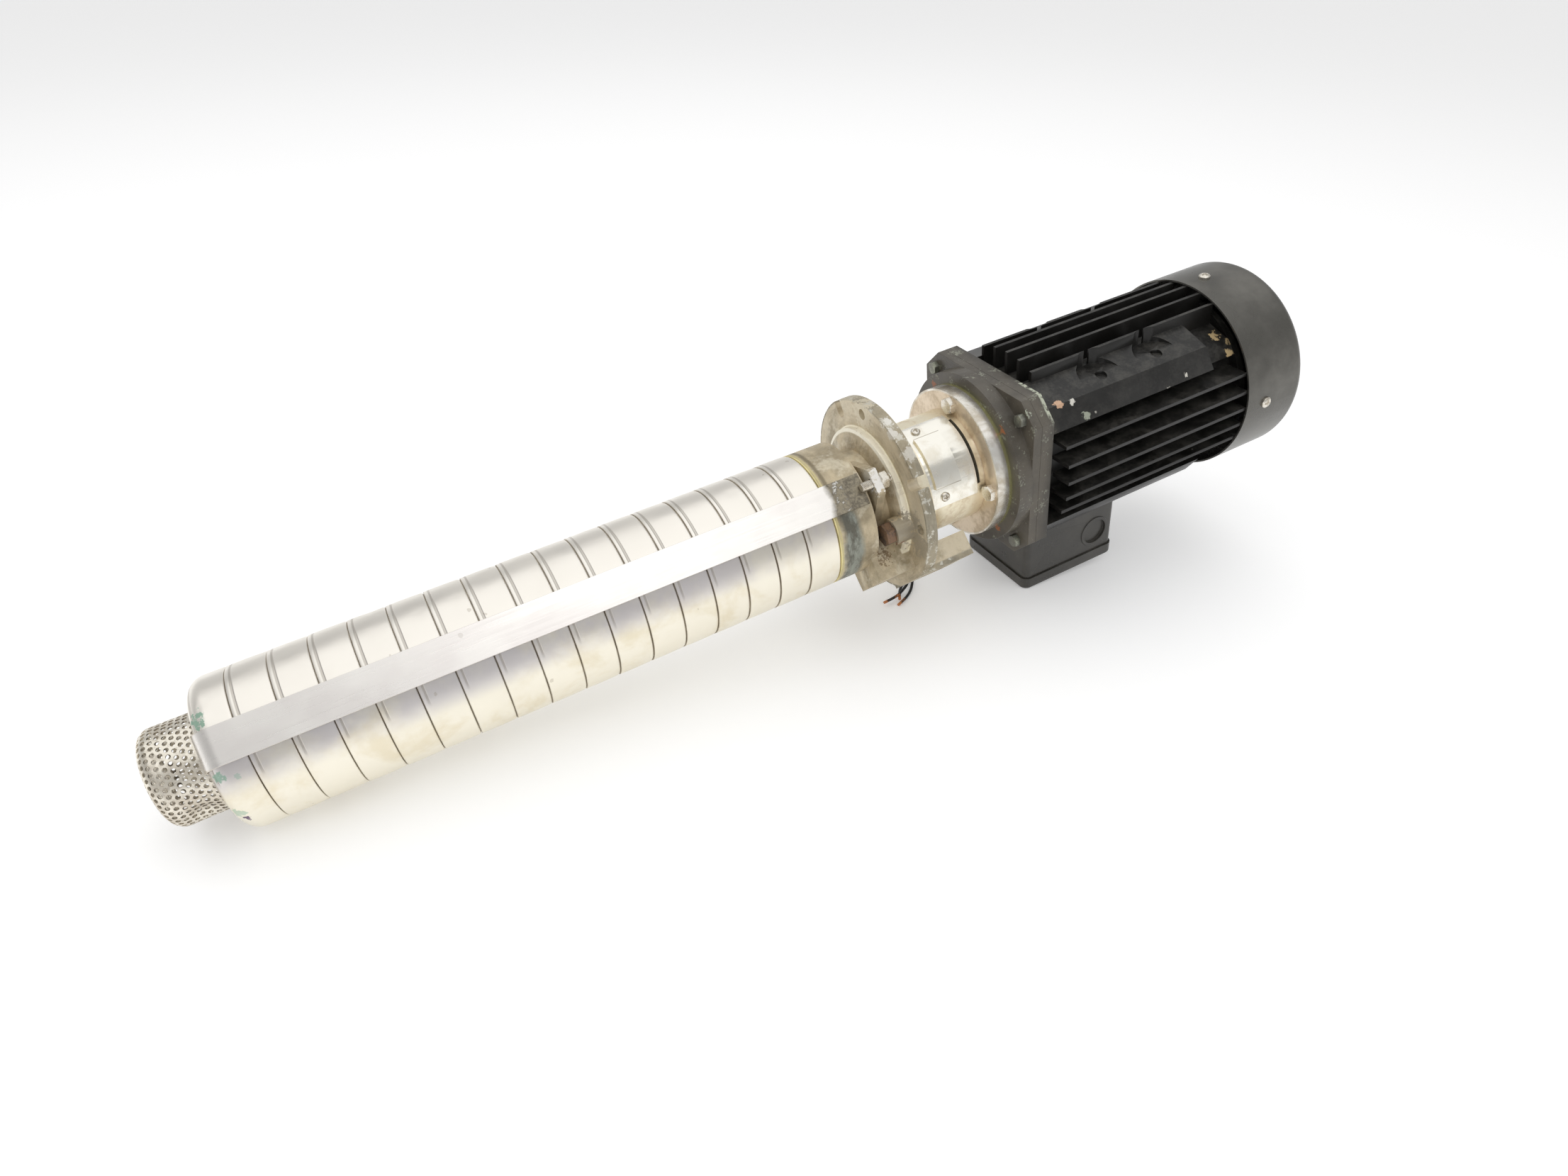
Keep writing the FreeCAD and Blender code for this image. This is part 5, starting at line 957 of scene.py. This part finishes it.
class PUMP_OT_chambers(bpy.types.Operator):
    """Inlet part and the sixteen deep-drawn chambers with their shoulders, dents and vanes"""
    bl_idname = "pump.chambers"
    bl_label = "Chambers"

    count = 16
    radius = 0.0555
    wall = 0.0015
    hub_opening = 0.0195
    suction_opening = 0.024
    sides = 144
    first_seed = 1200
    inlet_number = 40
    first_vane = math.radians(225)
    vane_sweep = math.radians(35)

    def execute(self, context):
        sizes, look = context.scene.pump_sizes, context.scene.pump_colours
        pitch = look.joint_pitch
        for number in range(self.count):
            name = "chamber_%02d" % (number + 1)
            start = look.first_joint + pitch * number
            shape = Shape()
            dents = self.dents(number, start, pitch, sizes.dent_depth)
            shape.add(*lathe(self.cup(start, pitch, sizes.barrel), self.sides, dents))
            for index in range(6):
                shape.add(*self.vane(start, pitch, index))
            dress(name + "_shell", shape, "chamber_steel", name, smooth=40.0)
        start = look.first_joint - pitch
        shape = Shape()
        dents = self.dents(self.inlet_number, start, pitch, sizes.dent_depth * 1.4)
        shape.add(*lathe(self.inlet(start, pitch), self.sides, dents))
        dress("inlet_shell", shape, "chamber_steel", "inlet_part", smooth=40.0)
        return {"FINISHED"}

    def outer_skin(self, start, pitch, barrel):
        """The skin from rim to shoulder: r = radius + barrel (1 - u^2) with u from -1 to 1 between
        the joints, then a quarter round of the shoulder."""
        u = np.linspace(-1, 1, 13)
        station = start + 0.0004 + (pitch - 0.0030) * (u + 1) / 2
        skin = np.stack([station, self.radius + barrel * (1 - u ** 2)], axis=1)
        rim = [(start + 0.0001, self.radius - 0.0006), (start + 0.0002, self.radius - 0.00015)]
        t = np.linspace(0.15, 1, 6) * math.pi / 2
        shoulder = np.stack([
            start + pitch - 0.0024 + 0.0022 * np.sin(t), self.radius - 0.0014 * (1 - np.cos(t))], axis=1)
        return np.concatenate([rim, skin, shoulder])

    def floor(self, start, pitch):
        """The end of a cup: step for the next one, floor, and back along the inner wall."""
        inner = self.radius - self.wall
        end = start + pitch
        return [
            (end - 0.0001, inner), (end + 0.0019, inner - 0.0001), (end + 0.0020, self.hub_opening),
            (end + 0.0005, self.hub_opening), (end + 0.0005, inner - 0.0015), (end - 0.0030, inner - 0.0002)]

    def cup(self, start, pitch, barrel):
        """A chamber's closed outline: outer skin, floor, then the inner wall back to the rim."""
        inner = [(start + 0.0001, self.radius - self.wall)]
        return np.concatenate([self.outer_skin(start, pitch, barrel), self.floor(start, pitch), inner])

    def inlet(self, start, pitch):
        """The inlet part: suction opening, rounded end (a quarter circle of the sheet), skin, floor."""
        bend = 0.012
        middle_radius = self.radius - bend
        t = np.linspace(0, 1, 12) * math.pi / 2
        outer, inner = (
            np.stack([start + bend - size * np.sin(t), middle_radius + size * np.cos(t)], axis=1)
            for size in (bend, bend - self.wall))
        skin = self.outer_skin(start, pitch, 0.0)
        skin = skin[skin[:, 0] > start + bend + 0.0004]
        return np.concatenate([
            [(start, self.suction_opening)], outer[::-1], skin, self.floor(start, pitch), inner,
            [(start + self.wall, self.suction_opening)]])

    def dents(self, number, start, pitch, depth):
        """Low waves round the shell and a few shallow round dents, each a Gaussian in the
        station and in the arc length; they move the outer skin only."""
        random = np.random.default_rng(self.first_seed + number)
        phase = random.uniform(0, FULL_TURN, 3)
        places = [(start + random.uniform(0.2, 0.8) * pitch, random.uniform(0, FULL_TURN),
                   random.uniform(0.3, 1.0) * depth, random.uniform(0.004, 0.008)) for _ in range(3)]

        def wobble(station, angle, radius):
            skin = (radius > self.radius - 0.0009).astype(float)
            fade = np.clip(np.minimum(station - start, start + pitch - station) / 0.004, 0, 1)
            move = 0.00006 * np.sin(2 * angle + phase[0]) + 0.00004 * np.sin(5 * angle + phase[1])
            for at, turn, deep, width in places:
                arc = (np.mod(angle - turn + math.pi, FULL_TURN) - math.pi) * self.radius
                move = move - deep * np.exp(-((station - at) ** 2 + arc ** 2) / width ** 2) * fade
            return move * skin

        return wobble

    def vane(self, start, pitch, index):
        """A guide vane on the chamber floor: a thin plate swept backwards between two radii."""
        inner, outer, height, half_thickness = 0.0242, 0.0532, 0.0105, 0.0006
        share = np.linspace(0, 1, 7)
        radius = inner + (outer - inner) * share
        turn = self.first_vane + index * math.pi / 3 - self.vane_sweep * share
        middle = np.stack([np.zeros(7), radius * np.cos(turn), radius * np.sin(turn)], axis=1)
        across = np.stack([np.zeros(7), -np.sin(turn), np.cos(turn)], axis=1) * half_thickness
        floor = start + pitch + 0.0005
        rows = [middle + across * sign + (station, 0, 0) for station, sign in (
            (floor, -1), (floor, 1), (floor - height, 1), (floor - height, -1))]
        ends = np.array([[3, 2, 1, 0], [24, 25, 26, 27]])
        return np.stack(rows, axis=1).reshape(-1, 3), np.concatenate([ring_faces(7, 4), ends])


class PUMP_OT_strainer(bpy.types.Operator):
    """Perforated strainer basket with its dent"""
    bl_idname = "pump.strainer"
    bl_label = "Strainer"

    radius = 0.0355
    length = 0.0395
    bend = 0.009
    wall = 0.0010
    flat = radius - bend
    arc_length = flat + bend * math.pi / 2 + length - bend
    # The dent and the crease beside it: station, angle from the dent, length, spread and depth
    dent_turn = math.radians(68)
    dents = ((0.024, 0.0, 0.010, 0.26, 0.0042), (0.030, 0.35, 0.006, 0.10, 0.0018))
    # Every hole and the cell around it have twelve points at these angles.
    corner = np.arange(12) * math.pi / 6

    def execute(self, context):
        sizes, look = context.scene.pump_sizes, context.scene.pump_colours
        self.start = look.first_joint - look.joint_pitch - self.length
        pitch, share = sizes.hole_pitch, sizes.hole_share
        row_height = pitch * math.sqrt(3) / 2
        rows = int((self.arc_length - self.flat * 0.98) / row_height)
        edge = self.arc_length - rows * row_height
        shape = Shape()
        shape.add(*self.side_cells(edge, rows, row_height, pitch, share), False)
        shape.add(*self.end_cells(edge, row_height, pitch, share), False)
        shape.add(*self.band([edge - pitch * 1.25, edge - pitch * 0.4, edge + pitch * 0.35], 0.00025))
        shape.add(*self.band([self.arc_length - 0.0016, self.arc_length], 0.0001))
        dress("strainer_basket", shape, "strainer_steel", "strainer", smooth=40.0)
        return {"FINISHED"}

    def surface(self, arc, angle, depth):
        """Basket point at an arc length from the middle of its end, an angle and a depth under
        the skin: flat end, quarter round, then straight side; with the dent pushed in."""
        t = np.clip((arc - self.flat) / self.bend, 0, math.pi / 2)
        past = np.maximum(arc - self.flat - self.bend * math.pi / 2, 0)
        radius = np.where(arc < self.flat, arc, self.flat + (self.bend - depth) * np.sin(t))
        station = np.where(arc < self.flat, depth, self.bend - (self.bend - depth) * np.cos(t) + past)
        away = np.mod(angle - self.dent_turn + math.pi, FULL_TURN) - math.pi
        for at, turn, length, spread, deep in self.dents:
            radius = radius - deep * np.exp(-((station - at) / length) ** 2 - ((away - turn) / spread) ** 2)
        return round_shaft(self.start + station, angle, radius)

    def cells(self, edges, holes):
        """Skin, underside and hole walls of cells, from the (arc, angle) of their edges and holes."""
        size = edges[0].size
        a = np.arange(size).reshape(-1, 12)
        b = np.roll(a, -1, axis=1)
        faces = [np.stack(quad, axis=-1).reshape(-1, 4) for quad in (
            (a, b, b + size, a + size),
            (a + 3 * size, b + 3 * size, b + 2 * size, a + 2 * size),
            (a + size, b + size, b + 3 * size, a + 3 * size))]
        points = [self.surface(*ring, depth).reshape(-1, 3)
                  for depth in (0.0, self.wall) for ring in (edges, holes)]
        return np.concatenate(points), np.concatenate(faces)

    def side_cells(self, edge, rows, row_height, pitch, share):
        """Hexagonal cells in staggered rows from the flat end's edge to the inlet part."""
        around = int(round(FULL_TURN * self.radius / pitch))
        step = FULL_TURN / around
        row, column = np.meshgrid(np.arange(rows), np.arange(around), indexing="ij")
        row, column = row.reshape(-1, 1), column.reshape(-1, 1)
        arc = edge + (row + 0.5) * row_height
        angle = (column + 0.5 * (row % 2)) * step
        across, along = np.cos(self.corner) * 0.5, np.sin(self.corner) * 0.5
        rings = []
        for scale, squash in ((hexagon(self.corner), 1.0), (share, 0.97)):
            ring_arc = np.clip(arc + scale * along * pitch * squash, edge, self.arc_length)
            rings.append((ring_arc, angle + scale * across * step))
        return self.cells(*rings)

    def end_cells(self, edge, row_height, pitch, share):
        """The same cells on the flat end, in a plane lattice inside its edge."""
        count = int(edge / row_height) + 2
        i, j = np.meshgrid(np.arange(-count, count + 1), np.arange(-count, count + 1), indexing="ij")
        x = (j + 0.5 * (i % 2)).reshape(-1, 1) * pitch
        y = i.reshape(-1, 1) * row_height
        keep = (np.hypot(x, y) < edge - pitch * 0.62).ravel()
        x, y = x[keep], y[keep]
        rings = []
        for scale in (hexagon(self.corner), share):
            ring_x = x + 0.5 * pitch * scale * np.cos(self.corner)
            ring_y = y + 0.5 * pitch * scale * np.sin(self.corner)
            rings.append((np.hypot(ring_x, ring_y), np.arctan2(ring_y, ring_x)))
        return self.cells(*rings)

    def band(self, arcs, inset):
        """A plain closed ring through some arc lengths, a little thinner than the sheet."""
        sides = 96
        arcs = np.array(arcs)[:, None]
        rows = [self.surface(*np.broadcast_arrays(line, angles(sides)[None, :]), depth)
                for line, depth in ((arcs, inset), (arcs[::-1], self.wall - inset))]
        return np.concatenate(rows).reshape(-1, 3), ring_faces(2 * len(arcs), sides, True)


class PUMP_OT_castings(bpy.types.Operator):
    """Cast and machined pieces: merged copies of the solids with softened edges"""
    bl_idname = "pump.castings"
    bl_label = "Castings"

    def execute(self, context):
        width = context.scene.pump_sizes.edge_width
        for node, finish, share in (
                ("pump_head", "head_casting", 1.6), ("motor_stool", "stool_casting", 1.2),
                ("front_shield", "motor_paint", 1.2), ("stator_housing", "motor_paint", 1.0),
                ("rear_shield", "motor_paint", 1.0), ("terminal_box", "box_paint", 1.4),
                ("terminal_box_lid", "box_paint", 0.0), ("fan_cover", "cover_paint", 0.0),
                ("coupling_guard_front", "guard_steel", 0.4), ("coupling_guard_rear", "guard_steel", 0.4),
                ("strap_front", "strap_steel", 0.6), ("strap_rear", "strap_steel", 0.6),
                ("head_gasket", "gasket", 0.0), ("filling_plug", "dark_plug", 1.0),
                ("cable_gland", "gland_plastic", 0.6), ("fan", "fan_plastic", 0.0)):
            refine(node, finish, width * share)
        return {"FINISHED"}


class PUMP_OT_inner_pieces(bpy.types.Operator):
    """Finishes of the pieces inside the pump and motor, which keep their solids"""
    bl_idname = "pump.inner_pieces"
    bl_label = "Inner Pieces"

    def execute(self, context):
        slots = {part["node"]: part["material_slot"] for part in frame["record"]["subparts"]}
        for name, node in frame["nodes"].items():
            if not node.hide_render:
                node.data.materials.clear()
                node.data.materials.append(material(slots[name]))
        return {"FINISHED"}


class PUMP_OT_fasteners(bpy.types.Operator):
    """Threaded studs, nuts, hexagon bolts and screws with their recesses"""
    bl_idname = "pump.fasteners"
    bl_label = "Fasteners"

    # Where the heads sit, as in the solids: stations along the shaft and distances from it
    stud_circle, stud_start, stud_length, nut_start = 0.061, -0.0335, 0.0265, -0.0175
    ring_station, ring_circle = 0.0815, 0.0565
    corner_station, corner_circle = 0.1085, 0.0835
    guard_station, guard_seat = 0.041, 0.04955
    cover_station, cover_seat = 0.3575, 0.088
    lid_stations, lid_half_width, lid_face = (0.142, 0.2285), 0.0355, -0.1335

    def execute(self, context):
        self.studs(context.scene.pump_sizes.thread_pitch)
        self.hexagon_bolts()
        self.pan_heads()
        return {"FINISHED"}

    def at(self, station, degrees, radius):
        return round_shaft(station, math.radians(degrees), radius)

    def thread(self, start, length, centre, radius, pitch):
        """A threaded rod: the radius less a triangle wave of (station / pitch - angle / turn) and
        less a chamfer at its ends."""
        sides, depth, chamfer = 20, 0.00065, 0.0006
        station = np.linspace(0, length, int(length / pitch * 6) + 1)
        s, a = np.meshgrid(station, angles(sides), indexing="ij")
        wave = np.abs(np.mod(s / pitch - a / FULL_TURN, 1.0) * 2 - 1)
        fade = np.clip(np.minimum(s, length - s) / pitch, 0, 1)
        r = radius - depth * wave * (0.4 + 0.6 * fade) - chamfer * (1 - fade)
        points = np.stack([
            start + s, centre[1] + r * np.cos(a), centre[2] + r * np.sin(a)], axis=-1).reshape(-1, 3)
        middles = np.array([[start, centre[1], centre[2]], [start + length, centre[1], centre[2]]])
        j = np.arange(sides)
        k = (j + 1) % sides
        last = (len(station) - 1) * sides
        low_end, high_end = np.full(sides, len(points)), np.full(sides, len(points) + 1)
        low = np.stack([low_end, low_end, k, j], axis=1)
        high = np.stack([high_end, high_end, last + j, last + k], axis=1)
        faces = np.concatenate([ring_faces(len(station), sides), low, high])
        return np.concatenate([points, middles]), faces

    def studs(self, pitch):
        studs, nuts = Shape(), Shape()
        for angle in (135.0, 315.0):
            centre = self.at(0.0, angle, self.stud_circle)
            studs.add(*self.thread(self.stud_start, self.stud_length, centre, 0.004, pitch))
            nuts.add(*spindle(
                [(0, 0.0040), (0, 0.0062), (0.0006, 0.0066), (0.0059, 0.0066), (0.0065, 0.0062),
                 (0.0065, 0.0040)],
                centre + (self.nut_start, 0, 0), (1, 0, 0), 36, [0, 0, 1.12, 1.12, 0, 0]))
        dress("stud_threads", studs, "fastener_steel", "strap_studs", smooth=25.0)
        dress("stud_nuts", nuts, "fastener_steel", "strap_nuts", smooth=25.0)

    def bolt(self, shape, place, flats, height, shank, length):
        """A hexagon head with rounded corners towards the pump and its shank towards the motor."""
        half = flats / 2
        shape.add(*spindle(
            [(0, 0.0), (0, half), (height - 0.0009, half), (height - 0.0002, half * 0.96),
             (height, half * 0.82), (height, 0.0)],
            place, (-1, 0, 0), 48, [0, 1.154, 1.154, 1.06, 0, 0]))
        shape.add(*spindle([(0, 0.0), (0, shank), (length, shank), (length, 0.0)], place, (1, 0, 0), 24))

    def hexagon_bolts(self):
        ring, corner = Shape(), Shape()
        for index in range(4):
            place = self.at(self.ring_station, 90.0 * index, self.ring_circle)
            self.bolt(ring, place, flats=0.013, height=0.0053, shank=0.004, length=0.026)
            place = self.at(self.corner_station, 45.0 + 90.0 * index, self.corner_circle)
            self.bolt(corner, place, flats=0.010, height=0.005, shank=0.003, length=0.022)
        dress("ring_bolt_heads", ring, "fastener_steel", "ring_bolts", smooth=25.0)
        dress("corner_bolt_heads", corner, "dark_bolts", "corner_bolts", smooth=25.0)

    def pan_head(self, shape, place, direction, radius, height, shank, length):
        """A pan head with a cross recess: the top's height is lowered by a cross whose arms
        fade from the middle."""
        sides = 32
        direction = np.asarray(direction, float)
        rings = np.array([0.0, 0.12, 0.25, 0.4, 0.55, 0.7, 0.85, 0.95, 1.0])
        r, a = np.meshgrid(rings, angles(sides), indexing="ij")
        arm = np.minimum(np.abs(r * np.cos(a)), np.abs(r * np.sin(a)))
        cross = np.clip((0.14 - arm) / 0.05, 0, 1) * np.clip((0.58 - r) / 0.08, 0, 1)
        top = height * (1 - 0.55 * r ** 4) - cross * height * 0.6
        first = np.cross(direction, (1.0, 0.0, 0.0))
        first /= np.linalg.norm(first)
        second = np.cross(direction, first)
        flat = (np.cos(a)[..., None] * first + np.sin(a)[..., None] * second) * (r * radius)[..., None]
        head = place + flat + top[..., None] * direction
        under = place + flat[-1]
        neck = place + flat[-1] * (shank / radius)
        tip = neck - direction * length
        base = np.broadcast_to(place - direction * length, tip.shape)
        rows = np.concatenate([head, [under, neck, tip, base]])
        shape.add(rows.reshape(-1, 3), ring_faces(len(rows), sides))

    def pan_heads(self):
        guard, cover, lid = Shape(), Shape(), Shape()
        for angle in (99.0, 171.0, 279.0, 351.0):
            place = self.at(self.guard_station, angle, self.guard_seat)
            self.pan_head(guard, place, self.at(0.0, angle, 1.0),
                          radius=0.004, height=0.0024, shank=0.002, length=0.006)
        for angle in (0.0, 90.0, 180.0, 270.0):
            place = self.at(self.cover_station, angle, self.cover_seat)
            self.pan_head(cover, place, self.at(0.0, angle, 1.0),
                          radius=0.005, height=0.003, shank=0.0025, length=0.010)
        for station in self.lid_stations:
            for side in (-1, 1):
                place = np.array([station, side * self.lid_half_width, self.lid_face])
                self.pan_head(lid, place, (0, 0, -1),
                              radius=0.0045, height=0.0035, shank=0.0025, length=0.016)
        dress("guard_screw_heads", guard, "fastener_steel", "guard_screws", smooth=30.0)
        dress("cover_screw_heads", cover, "fastener_steel", "fan_cover_screws", smooth=30.0)
        dress("lid_screw_heads", lid, "dark_bolts", "lid_screws", smooth=30.0)


class PUMP_PT_panel(bpy.types.Panel):
    """Lists the steps that dress the pump"""
    bl_idname = "PUMP_PT_panel"
    bl_label = "Coolant Pump"
    bl_space_type = "VIEW_3D"
    bl_region_type = "UI"
    bl_category = "Coolant Pump"

    def draw(self, context):
        for step in STEPS:
            self.layout.operator(step.bl_idname)


STEPS = (
    PUMP_OT_stage, PUMP_OT_finishes, PUMP_OT_cable, PUMP_OT_chambers, PUMP_OT_strainer, PUMP_OT_castings,
    PUMP_OT_fasteners, PUMP_OT_inner_pieces)
CLASSES = (PumpSizes, PumpColours, StudioLight) + STEPS + (PUMP_PT_panel,)


def register():
    for item in CLASSES:
        bpy.utils.register_class(item)
    bpy.types.Scene.pump_sizes = bpy.props.PointerProperty(type=PumpSizes)
    bpy.types.Scene.pump_colours = bpy.props.PointerProperty(type=PumpColours)
    bpy.types.Scene.pump_light = bpy.props.PointerProperty(type=StudioLight)


def unregister():
    del bpy.types.Scene.pump_light
    del bpy.types.Scene.pump_colours
    del bpy.types.Scene.pump_sizes
    for item in reversed(CLASSES):
        bpy.utils.unregister_class(item)


def main():
    register()
    for step in STEPS:
        group, name = step.bl_idname.split(".")
        getattr(getattr(bpy.ops, group), name)()


if __name__ == "__main__":
    main()
